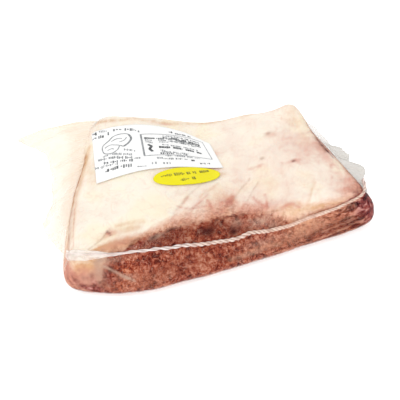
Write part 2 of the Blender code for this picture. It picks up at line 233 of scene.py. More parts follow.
# Lines on the top: X and Y of their points and half their width in millimetres, strength.
TOP_LINES = {
    "wine": [
        ([(-97.5, -49), (-96, -50.9), (-95, -54)], 1, 0.5),
    ],
    "blush": [
        ([(-0.5, -29), (0, -38), (3, -48)], 1.4, 0.7),
        ([(7.5, -48), (9, -40), (12, -33)], 1.3, 0.5),
        ([(18, -50), (20, -42), (19.5, -34)], 1.2, 0.4),
        ([(42, -32), (44, -40), (48, -48)], 1.6, 0.4),
        ([(-17.6, -23.3), (-29, -37), (-39.3, -50)], 1.6, 0.25),
        ([(-6, -25), (-16, -38), (-27, -51)], 1.6, 0.2),
        ([(2, -20.7), (-8.3, -31.4), (-16.4, -37.1)], 1.3, 0.45),
        ([(24.6, -25.9), (14.2, -39), (5, -50.8)], 2, 0.55),
        ([(53.1, -32.8), (52, -42.2), (48.8, -52)], 1.3, 0.45),
        ([(-29.3, -32.7), (-19.5, -38), (-4.5, -37.2)], 1.2, 0.45),
        ([(62.3, -54.6), (71.4, -53.1), (78.9, -56.9)], 1.4, 0.55),
        ([(31.2, -39.1), (26.1, -46.8), (19.9, -53.7)], 1.4, 0.5),
    ],
    "tan": [
        ([(-105, -56), (-90, -52), (-70, -51)], 3.4, 0.5),
        ([(-88, -44), (-76, -44), (-64, -45)], 2.6, 0.4),
        ([(102, -33), (94, -45), (88, -56)], 1.4, 0.4),
        ([(25, -25.9), (14.6, -39), (5.4, -50.8)], 2.6, 0.5),
        ([(16.2, -5.1), (4.7, -14.7), (-6.3, -23)], 1.6, 0.45),
        ([(-86, 108), (-67.4, 104), (-38.8, 98.5), (-12.3, 91), (29.7, 91.5), (56, 92.5)], 3.2, 0.55),
    ],
    # brown lines on the same points as folds in FOLDS: painted shade along those folds
    "brown": [
        ([(-93.9, -46.4), (-98.3, -50.4), (-104.8, -57.3), (-116, -65)], 1, 0.35),
        ([(5.9, 0.1), (-7, -12), (-19.7, -24.4), (-34.9, -40.8)], 1.2, 0.3),
        ([(47.1, -5.6), (33.6, -18.6), (22.4, -32.8)], 1.2, 0.28),
        ([(52.5, -14.5), (43.3, -25), (35.2, -35.7)], 1, 0.25),
    ],
}

# Folds in the skin of fat and film, in millimetres: points in plan, depth (less than 0) or
# height, width.
FOLDS = [
    ([(-93.9, -46.4), (-98.3, -50.4), (-104.8, -57.3), (-116, -65)], -0.3, 2),
    ([(115.5, 59), (104.8, 43.1), (88.7, 33.1), (76, 29)], -0.9, 2.8),
    ([(40, 6), (37.2, -6), (34, -18)], 0.3, 1.6), ([(44.5, 2), (42, -12), (40, -22)], -0.3, 1.8),
    ([(102, -33), (94, -45), (88, -56)], -0.4, 1.8), ([(96, -26), (90, -42), (84, -53)], 0.3, 2),
    ([(-17.6, -23.3), (-29, -37), (-39.3, -50)], -0.4, 1.6),
    ([(124, -12), (130, -24), (132, -38)], 0.4, 1.4),
    ([(5.9, 0.1), (-7, -12), (-19.7, -24.4), (-34.9, -40.8)], -0.5, 1.5),
    ([(47.1, -5.6), (33.6, -18.6), (22.4, -32.8)], -0.5, 1.5),
    ([(52.5, -14.5), (43.3, -25), (35.2, -35.7)], 0.4, 1.3),
    ([(16.2, -5.1), (4.7, -14.7), (-6.3, -23)], -0.4, 1.5),
    ([(39.1, -0.4), (31.6, -12.1), (23.8, -22.4)], 0.5, 1.5),
    ([(37.2, 19.5), (42, 9.4), (47.7, 4)], -0.4, 1.5),
]
# Swells of the wall: turn, millimetres down from the rim, reach along and down and rise
# in millimetres.
SWELLS = [(1.02, 26, 30, 13, 3.6), (0.06, 30, 30, 14, 0.8)]
FAN_CENTRE = (10.0, 14.0)          # wrinkles fan from under the sticker's right end
FAN_COUNT = 15
FAN_SEED = 5
FAN_TURNS = (math.radians(196.0), math.radians(305.0))
FAN_REACH = (26.0, 66.0)
FAN_HEIGHT = 0.28
FAN_WIDTH = 1.4
SKIN_LUMPS = 0.0008
LABEL_ZONE = (-0.101, 0.036, 0.008, 0.096)  # left, right, near and far sides, held flat
ZONE_EDGE = 0.006
STICKER_ZONE = (0.040, 0.017)

# ---- the film
FILM_ROWS = (200, 96, 26)
FILM_LIFT = 0.0002                 # the film above the CAD's surface
CREASE_HEIGHT = 0.00015
FILM_ROOT = 0.92                   # a flap starts this share of the way out to the wall
FILM_DROOP = 1.8
FLAP_WALL = 0.0003
FLAP_FOOT = 0.0008
RIPPLE_HEIGHT = 0.0012
FOLD_HEIGHT = 0.0030

# A flap's root (turn and level on the wall) and its torn edge (a place in space).
LEFT_ROOT = [(3.96, 0.62), (3.5, 0.5), (2.94, 0.95)]
LEFT_EDGE = [
    (-0.139, -0.062, 0.022), (-0.138, -0.032, 0.014), (-0.149, 0.012, 0.008), (-0.136, 0.05, 0.01),
    (-0.132, 0.108, 0.012), (-0.158, 0.148, 0.014),
]
RIGHT_ROOT = [(1.03, 0.7), (1.5, 0.7), (1.96, 0.7)]
RIGHT_EDGE = [
    (0.148, -0.048, 0.036), (0.152, -0.0387, 0.036), (0.1537, -0.0286, 0.036),
    (0.1597, -0.018, 0.036), (0.1592, -0.0093, 0.036), (0.1515, -0.0001, 0.036),
    (0.1527, 0.0108, 0.036), (0.1508, 0.0219, 0.036), (0.1431, 0.0264, 0.036),
    (0.1392, 0.0442, 0.036), (0.1359, 0.064, 0.036), (0.1317, 0.0793, 0.036),
]
LEFT_FLAP_ROWS = (30, 190)
RIGHT_EAR_ROWS = (26, 190)
# How milky each flap is at its root and at its edge, at even steps along it.
LEFT_MILK = [(0.35, 0.22), (0.58, 0.28), (0.62, 0.34), (0.68, 0.4), (0.76, 0.5), (0.85, 0.6)]
RIGHT_MILK = [
    (0.85, 0.85), (0.85, 0.85), (0.85, 0.8), (0.8, 0.8), (0.85, 0.85), (0.85, 0.85), (0.85, 0.8),
    (0.75, 0.65), (0.68, 0.5), (0.64, 0.45), (0.58, 0.4), (0.45, 0.3),
]

# Turns and levels of the pleats. Levels over 1 lie in from the rim, over the top.
FRONT_PLEAT = [
    (-0.06, 0.5), (-0.012, 0.87), (0.028, 1.16), (0.072, 1.14), (0.12, 1), (0.155, 0.935),
    (0.182, 0.9), (0.217, 0.86), (0.253, 0.77), (0.29, 0.7), (0.328, 0.57), (0.357, 0.53), (0.4, 0.4),
    (0.438, 0.33), (0.47, 0.3), (0.51, 0.27), (0.54, 0.3), (0.564, 0.37), (0.59, 0.35), (0.623, 0.28),
    (0.655, 0.26), (0.695, 0.24), (0.73, 0.3), (0.782, 0.37), (0.84, 0.47), (0.902, 0.63),
    (0.955, 0.76), (0.99, 0.81), (1.018, 0.8),
]
BACK_PLEAT = [(2.02, 0.6), (2.25, 0.3), (2.45, 0.1), (2.7, 0.3), (2.97, 0.6)]
# Their thickness as a share of the full one, and the length of a twist, at even steps.
FRONT_SHARES = (0.12, 0.20, 0.45, 0.70, 0.85, 0.95, 1.0, 1.0, 1.05, 1.05, 1.0, 0.95, 0.72, 0.75, 1.1)
FRONT_PITCHES = (0.040, 0.040, 0.030, 0.022, 0.014, 0.0105, 0.0084, 0.0068, 0.0062, 0.0062, 0.0200)
FRONT_TAIL = [(0.1475, -0.0455, 0.0415), (0.149, -0.04, 0.042), (0.15, -0.0345, 0.0415)]
BACK_SHARES = (0.7, 1.0, 1.0, 0.7)
BACK_PITCHES = (0.020, 0.008, 0.008, 0.020)
LEFT_BAND = [
    (-0.08, 0.3), (-0.04, 0.55), (-0.008, 0.84), (0.028, 1.1), (0.072, 1.08), (0.12, 0.97),
    (0.165, 0.9), (0.217, 0.86),
]
LEFT_BAND_WIDTHS = (0.0070, 0.0085, 0.0095, 0.0090, 0.0070, 0.0035, 0.0022, 0.0018)
BAND_LIFT = 0.0006
BAND_BULGE = 0.0006
BAND_RUCKS = 0.0001
STRAND_RADIUS = 0.00105
STRAND_SWING = 0.00080             # how far a strand's middle is from the pleat's
STRAND_SIDES = 10
PLEAT_LIFT = 0.0012
RINGS_PER_METRE = 2000

# ---- label and sticker
PAPER_WALL = 0.0003
PAPER_GAP = 0.0005                 # paper above the film it is laid on
PRINT_GAP = PAPER_GAP + PAPER_WALL + 0.00008
PRINT_WALL = 0.00006
DROP_HEIGHT = 0.2                  # papers are dropped on the film from here
BAR_STEP = 0.002
LABEL_ROWS = (110, 66)
LABEL_MILLIMETRE = np.array([2 / 127, 2 / 76])   # in the label's own measure, from -1 to 1
# The label's near side, its creased far side, and where its print ends before that.
LABEL_NEAR = [(-0.095, 0.0153), (-0.06, 0.016), (-0.01, 0.0186), (0.0275, 0.0168)]
LABEL_FAR = [(-0.0864, 0.0905), (-0.057, 0.0883), (-0.025, 0.0842), (0.004, 0.0737), (0.0247, 0.0558)]
PRINT_FAR = [(-0.0864, 0.0905), (-0.057, 0.0835), (-0.025, 0.0792), (0.004, 0.0715), (0.0247, 0.0558)]
STICKER_ROWS = (60, 26)
STICKER_MIDDLE = (-0.0110, 0.0055)
STICKER_SIZE = (0.0660, 0.0245)
STICKER_TURN = math.radians(6.0)

# Rows of print on the label: start and end from -1 to 1 along and across the label, then
# height of the marks, their width and the gap between them in millimetres, and weight.
LABEL_PRINT = [
    (-0.98, 0.93, -0.88, 0.9, 4.1, 1.5, 0.7, "bold"), (-0.84, 0.97, -0.69, 0.94, 2.7, 0.8, 1, "fine"),
    (-0.63, 0.96, -0.52, 0.93, 4.3, 1.6, 1.4, "mid"), (-0.46, 0.93, -0.36, 0.9, 4.3, 1.4, 1.2, "mid"),
    (-0.34, 0.89, -0.23, 0.75, 3.5, 1.2, 0.8, "mid"),
    (-0.99, 0.72, -0.75, 0.75, 4.1, 1.3, 0.9, "bold"),
    (-0.71, 0.81, -0.68, 0.82, 4.1, 1.4, 0.8, "mid"), (-0.47, 0, -0.29, -0.15, 2.4, 1, 0.7, "fine"),
    (-0.8, -0.1, -0.65, -0.06, 2.2, 1, 0.6, "fine"),
    (-0.65, -0.07, -0.34, -0.28, 2.7, 1.1, 0.7, "fine"),
    (-0.9, -0.18, -0.65, -0.22, 2.7, 1.1, 0.6, "fine"),
    (-0.65, -0.22, -0.34, -0.41, 3.2, 1.2, 0.6, "mid"),
    (-0.79, -0.34, -0.35, -0.51, 3, 1.2, 0.7, "mid"),
    (-0.81, -0.44, -0.56, -0.53, 2.4, 1.1, 0.8, "fine"),
    (-0.32, -0.45, -0.23, -0.48, 2.2, 1, 0.7, "fine"),
    (-1, -0.45, -0.79, -0.49, 2.7, 1.1, 0.8, "fine"),
    (-0.77, -0.67, -0.69, -0.67, 4.1, 1.6, 0.6, "bold"),
    (-0.68, -0.66, -0.56, -0.64, 4.1, 1.4, 0.8, "bold"),
    (-0.52, -0.66, -0.35, -0.72, 4.1, 1.2, 1.2, "mid"),
    (-0.17, 0.43, -0.04, 0.42, 2.4, 1.8, 0.3, "bold"),
    (-0.15, 0.25, -0.05, 0.19, 2.4, 1, 0.8, "fine"), (0, 0.43, 0.23, 0.46, 2.7, 1.2, 0.6, "mid"),
    (0.1, 0.59, 0.25, 0.62, 2.7, 1.2, 0.6, "fine"), (0.23, 0.53, 0.7, 0.49, 3.2, 1.4, 0.4, "bold"),
    (0.28, 0.63, 0.7, 0.64, 2.4, 1.2, 0.5, "mid"), (0.04, 0.25, 0.2, 0.28, 2.2, 1, 0.7, "fine"),
    (0.2, 0.36, 0.61, 0.29, 2.7, 1.2, 0.5, "mid"), (0.03, -0.02, 0.3, -0.01, 3.2, 1.8, 0.3, "bold"),
    (0.3, -0.01, 0.66, -0.08, 3, 1.8, 0.3, "bold"), (0.04, -0.18, 0.14, -0.22, 2.2, 1, 0.7, "fine"),
    (0.04, -0.34, 0.41, -0.33, 3, 1.2, 0.6, "mid"), (-0.01, -0.55, 0.07, -0.56, 2.4, 1, 0.7, "fine"),
    (0.07, -0.6, 0.41, -0.59, 2.4, 1.1, 0.6, "mid"),
    (0.46, -0.63, 0.52, -0.62, 2.7, 1.6, 0.3, "bold"),
    (0.58, -0.77, 0.74, -0.71, 2.7, 1.2, 0.7, "mid"),
    (-0.08, -0.76, -0.01, -0.78, 3.2, 0.8, 2, "fine"),
    (0.06, -0.8, 0.15, -0.82, 2.4, 0.9, 1.6, "fine"),
    (-0.27, -0.82, -0.15, -0.86, 1.1, 1.6, 0.2, "fine"),
    (0.31, 0.85, 0.59, 0.89, 2.2, 1.4, 0.5, "mid"), (0.21, 0.88, 0.26, 0.89, 3, 1.6, 0.3, "bold"),
    (0.1, 0.51, 0.6, 0.42, 2.4, 1.3, 0.4, "mid"), (0.3, 0.43, 0.72, 0.37, 2.6, 1.3, 0.4, "mid"),
    (0.03, 0.35, 0.4, 0.32, 2.2, 1.2, 0.4, "fine"), (0.08, 0.12, 0.62, 0.06, 2.2, 1.2, 0.5, "fine"),
    (0.06, -0.26, 0.45, -0.27, 2, 1.1, 0.5, "fine"),
    (-0.16, 0.33, -0.04, 0.31, 2.2, 1.1, 0.5, "fine"), (0.1, -0.44, 0.6, -0.46, 2, 1.1, 0.6, "fine"),
]
FRAME_CORNERS = [(-0.22, 0.62), (0.79, 0.83), (0.83, -0.38), (-0.17, -0.42)]
FRAME_LINE = 0.9                   # widths of lines are in millimetres
THICK_LINE = 1.44
# A plain generic motif: a lobed outline with a few veins in it, in the label's measure.
OUTLINE_POINTS = [
    (-0.8, 0.14), (-0.79, 0.32), (-0.7, 0.48), (-0.62, 0.66), (-0.5, 0.72), (-0.4, 0.66),
    (-0.36, 0.46), (-0.4, 0.26), (-0.47, 0.14), (-0.53, 0.2), (-0.57, 0.04), (-0.66, -0.04),
    (-0.76, 0),
]
VEINS = [
    [(-0.76, 0.22), (-0.68, 0.3), (-0.6, 0.26), (-0.54, 0.22)],
    [(-0.66, 0.44), (-0.58, 0.52), (-0.5, 0.5)], [(-0.54, 0.36), (-0.47, 0.4), (-0.43, 0.52)],
    [(-0.72, 0.1), (-0.66, 0.14), (-0.62, 0.1)],
]
SHADED_SIDE = [(-0.4, 0.66), (-0.36, 0.46), (-0.4, 0.26), (-0.47, 0.14)]
OUTLINE_LINE = 1.1
VEIN_LINE = 0.9
SHADED_LINE = 1.9
KNOT = [(-0.12, 0.1), (-0.07, 0.02), (-0.1, -0.12), (-0.06, -0.24)]
KNOT_LINE = 2.4

# Rows of print on the sticker, in millimetres from its middle.
STICKER_PRINT = [
    (-25, 2.8, 4, 3.4, 3, 1.2, 0.7), (7, 3.6, 11, 3.8, 2.8, 1.3, 0.8),
    (14, 4.2, 26, 4.6, 2.6, 1.6, 0.5), (-8.5, -5.4, 1, -5, 3, 1.2, 0.7),
    (3.5, -4.4, 6.5, -4.2, 3, 1.3, 0.6),
]
PRINT_SEED = 11
MARK_SCALES = (1.2, 1.15, 0.85)    # for the marks' heights, widths and gaps in both tables

# ---- camera and light
CAMERA_TURN = math.radians(-15.0)
CAMERA_RISE = math.radians(42.0)
CAMERA_AWAY = 0.85
CAMERA_AIM = (-0.0018, -0.0300, 0.020)
CAMERA_LENS = 80.1
SENSOR_WIDTH = 36.0
FLOOR_REACH = 9.0
FLOOR_DROP = -0.0003
FLOOR_GLOW = 0.36
SKY_STRENGTH = 0.66


# ---- small helpers
def linear(hex_colour):
    """An sRGB hex colour as linear red, green, blue and 1."""
    parts = [int(hex_colour[k:k + 2], 16) / 255 for k in (1, 3, 5)]
    curve = [p / 12.92 if p <= 0.04045 else ((p + 0.055) / 1.055) ** 2.4 for p in parts]
    return (*curve, 1.0)


def fill(tree, node, inputs):
    """Give a node's sockets, by name or number, a value or another node's output."""
    for name, value in dict(inputs).items():
        if isinstance(value, bpy.types.NodeSocket):
            tree.links.new(value, node.inputs[name])
        else:
            node.inputs[name].default_value = value


def add(tree, kind, inputs=(), stops=(), out=0, **settings):
    """Add a node with its settings, inputs and colour stops, and give its output."""
    node = tree.nodes.new("ShaderNode" + kind)
    for name, value in settings.items():
        setattr(node, name, value)
    fill(tree, node, inputs)
    for number, (place, colour) in enumerate(stops):
        ramp = node.color_ramp.elements
        stop = ramp[number] if number < 2 else ramp.new(place)
        stop.position = place
        stop.color = linear(colour)
    return node.outputs[out]


def new_material(name):
    material = bpy.data.materials.new(name)
    material.use_nodes = True
    return material, material.node_tree, material.node_tree.nodes["Principled BSDF"]


def new_object(name, data):
    thing = bpy.data.objects.new(name, data)
    bpy.context.scene.collection.objects.link(thing)
    return thing


def new_mesh(name, form, material):
    mesh = bpy.data.meshes.new(name)
    form.to_mesh(mesh)
    form.free()
    mesh.materials.append(material)
    return mesh


def grid_points(form, rows):
    """Add a flat grid, and give its points and their places from -1 to 1 each way."""
    points = bmesh.ops.create_grid(form, x_segments=rows[0], y_segments=rows[1], size=1.0)["verts"]
    u, v, _ = np.array([point.co for point in points]).T
    return points, u, v


def move_points(points, places):
    for point, place in zip(points, places):
        point.co = place


def spline(points, steps, closed):
    """Points of a smooth curve through the given points (Catmull-Rom)."""
    given = np.array(points, dtype=float)
    count = len(given)
    out = []
    for i in range(count if closed else count - 1):
        near = []
        for k in (i - 1, i, i + 1, i + 2):
            near.append(given[k % count] if closed else given[min(max(k, 0), count - 1)])
        for t in np.arange(steps) / steps:
            out.append(0.5 * (
                2 * near[1]
                + (near[2] - near[0]) * t
                + (2 * near[0] - 5 * near[1] + 4 * near[2] - near[3]) * t ** 2
                + (3 * near[1] - near[0] - 3 * near[2] + near[3]) * t ** 3
            ))
    if not closed:
        out.append(given[-1])
    return np.array(out)


def smooth_step(t):
    t = np.clip(t, 0.0, 1.0)
    return t * t * (3.0 - 2.0 * t)


def bell(values, middle, reach):
    """1 at the middle, falling to 0 about two reaches away."""
    return np.exp(-((values - middle) / reach) ** 2)


def away(x, y, middle, reach):
    """The square of how far places are from a middle, counted in reaches."""
    return ((x - middle[0]) / reach[0]) ** 2 + ((y - middle[1]) / reach[1]) ** 2


def read_steps(values, along):
    """Values given at even steps of the way, read at shares of it."""
    return np.interp(along, np.linspace(0.0, 1.0, len(values)), values)


def lengths_along(route):
    """The length of a route up to each of its places."""
    return np.concatenate([[0.0], np.cumsum(np.linalg.norm(np.diff(route, axis=0), axis=1))])


def lumps(places, size, octaves=3):
    """Smooth noise about 0 at each place, in lumps of the given size or three sizes."""
    scaled = np.asarray(places) / size
    return np.array([noise.fractal(Vector(place), 1.0, 2.0, octaves) for place in scaled])


def unit(rows):
    """Each row as a direction of length 1."""
    return rows / np.maximum(np.linalg.norm(rows, axis=1), 1e-12)[:, None]


# ---- the slab's surface
class Outline:
    """The slab's wall, by turn (0 to 4, a whole number at each corner) and height."""

    def __init__(self):
        self.base = spline(BASE_OUTLINE, CURVE_STEPS, closed=True)
        self.top = spline(TOP_OUTLINE, CURVE_STEPS, closed=True)
        ends = np.roll(self.base, -1, axis=0)
        runs = np.hypot(*(ends - self.base).T)
        self.along = np.concatenate([[0.0], np.cumsum(runs)[:-1]])
        self.length = runs.sum()
        tangents = np.roll(self.base, -1, axis=0) - np.roll(self.base, 1, axis=0)
        tangents /= np.hypot(*tangents.T)[:, None]
        self.normals = np.column_stack([tangents[:, 1], -tangents[:, 0]])
        corners = [self.along[number * CURVE_STEPS] for number in CORNER_POINTS]
        self.turns = np.arange(-4, 9)
        self.places = np.concatenate([
            np.array(corners) + lap * self.length for lap in (-1, 0, 1)
        ] + [[corners[0] + 2 * self.length]])

    def read(self, turn, table):
        at = np.interp(turn, self.turns, self.places)
        columns = [
            np.interp(at, self.along, table[:, k], period=self.length) for k in (0, 1)
        ]
        return np.column_stack(columns)

    def wall(self, turn, height):
        lean = smooth_step(height / SLAB_HEIGHT)[:, None]
        return (1.0 - lean) * self.read(turn, self.base) + lean * self.read(turn, self.top)

    def reach(self, turn):
        """Distance from the slab's middle to the line that touches the wall there."""
        out = self.read(turn, self.base) - SLAB_CORE
        return (out * self.read(turn, self.normals)).sum(axis=1)


OUTLINE = Outline()


def top_height(x, y):
    height = np.full(np.shape(x), SLAB_HEIGHT)
    for rise, at_x, at_y, *reach in TOP_RELIEF:
        height = height + rise * np.exp(-away(x, y, (at_x, at_y), reach))
    return height


def square_turn(a, b):
    """Turn (0 to 4) of a place around a square, from its front left corner to the right."""
    far = np.maximum(np.maximum(np.abs(a), np.abs(b)), 1e-9)
    a, b = a / far, b / far
    sides = [b <= -1 + 1e-9, a >= 1 - 1e-9, b >= 1 - 1e-9]
    turns = [(a + 1) / 2, 1 + (b + 1) / 2, 2 + (1 - a) / 2]
    return np.select(sides, turns, 3 + (1 - b) / 2)


def slab_places(a, b, c):
    """Where each place of a cube, from -1 to 1 each way, lies on the slab's surface."""
    turn = square_turn(a, b)
    reach = OUTLINE.reach(turn)
    inset = (1.0 - np.maximum(np.abs(a), np.abs(b))) * reach
    drop = (1.0 - np.abs(c)) / 2 * SLAB_HEIGHT
    radius = np.where(c > 0, TOP_ROUND, BOTTOM_ROUND)
    tilt = math.pi / 4 * (1.0 + np.clip((inset - drop) / radius, -1.0, 1.0))
    in_rim = (inset < radius) & (drop < radius)
    inset = np.where(in_rim, radius * (1.0 - np.cos(tilt)), inset)
    drop = np.where(in_rim, radius * (1.0 - np.sin(tilt)), drop)
    level = np.where(c > 0, SLAB_HEIGHT - drop, drop)
    out = OUTLINE.wall(turn, level) - SLAB_CORE
    plan = SLAB_CORE + out * (1.0 - inset / reach)[:, None]
    x, y = plan.T
    return np.column_stack([x, y, level * top_height(x, y) / SLAB_HEIGHT])


def slab_line(turn, level):
    """Places on the slab's wall, or where a level is over 1 in from the rim on its top."""
    side, part = np.divmod(np.mod(turn, 4.0), 1.0)
    forward = 2.0 * part - 1.0
    a = np.select([side == 0, side == 1, side == 2], [forward, 1.0, -forward], -1.0)
    b = np.select([side == 0, side == 1, side == 2], [-1.0, forward, 1.0], -forward)
    over = np.maximum(level - 1.0, 0.0) * SLAB_HEIGHT / 2
    keep = 1.0 - over / OUTLINE.reach(np.mod(turn, 4.0))
    return slab_places(a * keep, b * keep, np.minimum(level, 1.0))


def read_line(points, along):
    """Places at the given shares of the way along a smooth line through the points."""
    line = spline(points, LINE_STEPS, closed=False)
    return np.column_stack([read_steps(column, along) for column in line.T])


class SlabGrid:
    """A cube divided into rows, with where each of its points lies on the slab: its turn, its
    run in millimetres down from the upper rim, and how surely it is on the top."""

    def __init__(self, rows):
        self.form = bmesh.new()
        bmesh.ops.create_cube(self.form, size=2.0)
        for axis, count in enumerate(rows):
            along = []
            for edge in self.form.edges:
                run = edge.verts[1].co - edge.verts[0].co
                if abs(run[axis]) > 0.5 * run.length:
                    along.append(edge)
            bmesh.ops.subdivide_edges(self.form, edges=along, cuts=count - 1, use_grid_fill=True)
        cube = np.array([vert.co for vert in self.form.verts])
        crowd = ROW_CROWDING * math.pi / 2
        a, b = (np.sin(cube[:, k] * crowd) / math.sin(crowd) for k in (0, 1))
        c = cube[:, 2]
        self.turn = square_turn(a, b)
        self.places = slab_places(a, b, c)
        inset = (1.0 - np.maximum(np.abs(a), np.abs(b))) * OUTLINE.reach(self.turn)
        drop = (1.0 - c) / 2 * SLAB_HEIGHT
        self.run = np.where(c > 0, drop - inset, drop + inset) * 1000
        self.on_top = smooth_step((inset / RIM_WIDTH) * (c > 0.9))
        move_points(self.form.verts, self.places)
        bmesh.ops.recalc_face_normals(self.form, faces=self.form.faces)
        self.form.normal_update()
        self.out = np.array([vert.normal for vert in self.form.verts])

    def raise_by(self, height, low):
        """Move each point out of the slab by its height, and none below the low."""
        places = self.places + self.out * height[:, None]
        places[:, 2] = np.maximum(places[:, 2], low)
        move_points(self.form.verts, places)


def make_piece(name, form, material, node, values=(), wall=0.0, outward=0.0):
    """Make a piece of a bmesh in the slab's own places, in the place of a CAD node, with
    a value for each point and the thickness of its wall."""
    bmesh.ops.translate(form, verts=form.verts, vec=(-BOX_MIDDLE[0], -BOX_MIDDLE[1], 0.0))
    mesh = new_mesh(name, form, material)
    for title, numbers in dict(values).items():
        layer = mesh.attributes.new(title, "FLOAT", "POINT")
        layer.data.foreach_set("value", np.asarray(numbers, dtype=np.float32))
    mesh.shade_smooth()
    piece = new_object(name, mesh)
    if wall > 0.0:
        solid = piece.modifiers.new("wall", "SOLIDIFY")
        solid.thickness = wall
        solid.offset = outward
    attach(piece, "root")
    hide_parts(node)


# ---- relief shared by meat and film
def near_line(plan, points, width):
    """1 on a smooth line in the plane, falling to 0 about two widths away."""
    line = spline(points, LINE_STEPS, closed=False)
    low, high = line.min(axis=0) - 3 * width, line.max(axis=0) + 3 * width
    close = np.all((plan > low) & (plan < high), axis=1)
    gaps = plan[close][:, None, :] - line[None, :, :]
    out = np.zeros(len(plan))
    out[close] = bell(np.hypot(gaps[..., 0], gaps[..., 1]).min(axis=1), 0.0, width)
    return out


def fan_lines():
    """Wrinkles that fan out from the sticker: points, height or depth, and width."""
    rng = np.random.default_rng(FAN_SEED)
    lines = []
    for turn in np.linspace(*FAN_TURNS, FAN_COUNT):
        turn += rng.uniform(-0.05, 0.05)
        near = FAN_REACH[0] * rng.uniform(0.8, 1.3)
        far = FAN_REACH[1] * rng.uniform(0.6, 1.0)
        line = []
        for reach in np.linspace(near, far, 4):
            bend = turn + rng.uniform(-0.03, 0.03)
            line.append((FAN_CENTRE[0] + reach * math.cos(bend), FAN_CENTRE[1] + reach * math.sin(bend)))
        lines.append((line, FAN_HEIGHT * rng.choice([-1.0, 1.0]), FAN_WIDTH * rng.uniform(0.7, 1.3)))
    return lines


def label_zone(places):
    """1 under the label and the sticker, 0 well away from them."""
    x, y, _ = places.T
    left, right, near, far = LABEL_ZONE
    inside = [smooth_step(gap / ZONE_EDGE) for gap in (x - left, right - x, y - near, far - y)]
    beside = away(x, y, STICKER_MIDDLE, STICKER_ZONE)
    return np.maximum(np.prod(inside, axis=0), smooth_step((1.4 - beside) / 0.5))


def around(turn):
    """Millimetres around the wall from the front left corner."""
    corners = np.concatenate([[-SIDE_RUN[3], 0.0], np.cumsum(SIDE_RUN)])
    return np.interp(turn, np.arange(-1, 5), corners)


def around_gap(grid, turn):
    """Millimetres around the wall from a turn to each point, the shorter way."""
    length = sum(SIDE_RUN)
    return (around(grid.turn) - around(turn) + length / 2) % length - length / 2


def skin_relief(grid):
    """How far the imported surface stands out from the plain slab: swells and folds."""
    free = 1.0 - label_zone(grid.places) * grid.on_top
    height = SKIN_LUMPS * lumps(grid.places, 0.030, 2) * (0.3 + 0.7 * free)
    for line, rise, width in FOLDS + fan_lines():
        fold = near_line(grid.places[:, :2] * 1000, line, width)
        height += 0.001 * rise * fold * grid.on_top * free
    for turn, down, *reach, rise in SWELLS:
        far = away(around_gap(grid, turn), grid.run, (0.0, down), reach)
        height += 0.001 * rise * np.exp(-far)
    return height


# ---- raw beef
def mark_strengths(grid):
    """The strength of each kind of mark at each point of the slab."""
    found = {name: np.zeros(len(grid.places)) for name in MARK_NAMES}
    rough = lumps(grid.places, 0.006, 3)
    plan = grid.places[:, :2] * 1000
    top = grid.run < 4.0
    for name, amount in found.items():
        for turn, down, *reach, strength in WALL_SPOTS.get(name, ()):
            far = away(around_gap(grid, turn), grid.run, (0.0, down), reach)
            amount += strength * np.exp(-far * (1.0 + 0.6 * rough))
        for points, half, strength in WALL_LINES.get(name, ()):
            first = points[0][0]
            line = [(around(turn) - around(first), down) for turn, down in points]
            wall = np.column_stack([around_gap(grid, first), grid.run])
            amount += strength * near_line(wall, line, half) * (1.0 + 0.8 * rough)
        for x, y, *reach, strength in TOP_SPOTS.get(name, ()):
            far = away(*plan.T, (x, y), reach)
            amount += strength * np.exp(-far * (1.0 + 0.6 * rough)) * top
        for points, half, strength in TOP_LINES.get(name, ()):
            amount += strength * near_line(plan, points, half) * (1.0 + 0.8 * rough) * top
    return found


def make_meat(material):
    """The slab: fat cap and torn lean, with their relief and the marks that colour them."""
    grid = SlabGrid(MEAT_ROWS)
    turns, *columns = np.array(LEAN_EDGE + [(4.0, *LEAN_EDGE[0][1:])]).T
    down, fray, stain = (np.interp(grid.turn, turns, column) for column in columns)
    depth = grid.run - down + 0.4 * fray * lumps(grid.places, 0.013, 3)
    lean = smooth_step((depth + 1.5) / 3.0)
    grain = np.clip(0.5 - lumps(grid.places, LEAN_GRAIN, 4), 0.0, 1.2)
    clefts = bell(lumps(grid.places, np.multiply(LEAN_GRAIN, 2.0), 3), 0.0, 0.06)
    dimples = np.clip(0.4 + lumps(grid.places, 0.009, 3), 0.0, 1.0)
    height = skin_relief(grid) - MEAT_INSET
    height -= lean * (GRAIN_DEPTH * grain + CLEFT_DEPTH * clefts)
    height -= (1.0 - lean) * DIMPLE_DEPTH * dimples
    grid.raise_by(height, MEAT_FOOT)
    begin, full, wane, end = STRAND_TURNS
    rise = smooth_step((grid.turn - begin) / (full - begin))
    fall = smooth_step((end - grid.turn) / (end - wane))
    values = mark_strengths(grid)
    values.update(depth=depth, fray=fray, stain=1.0 + depth / stain, strand=rise * fall)
    make_piece("beef_slab", grid.form, material, "sealed_bag", values)


def bundle_tone(tree, vector, size, contrast):
    """Torn muscle bundles about a size across: light and dark patches with grain in them."""
    bend = add(tree, "TexNoise", {"Vector": vector, "Scale": 0.7 / size, "Detail": 2.0}, out="Color")
    shift = add(tree, "VectorMath", {0: bend, 1: (1.5 * size,) * 3}, operation="MULTIPLY")
    bent = add(tree, "VectorMath", {0: vector, 1: shift}, operation="ADD")
    cells = add(tree, "TexVoronoi", {"Vector": bent, "Scale": 1 / size}, out="Color")
    cell = add(tree, "SeparateColor", {0: cells})
    grain = add(tree, "TexNoise", {
        "Vector": bent, "Scale": 0.85 / size, "Detail": 5.0, "Roughness": 0.84,
    })
    tone = add(tree, "Math", {0: cell, 1: 0.2, 2: 0.8 - 0.5 * contrast}, operation="MULTIPLY_ADD")
    return add(tree, "Math", {0: grain, 1: contrast, 2: tone}, operation="MULTIPLY_ADD")


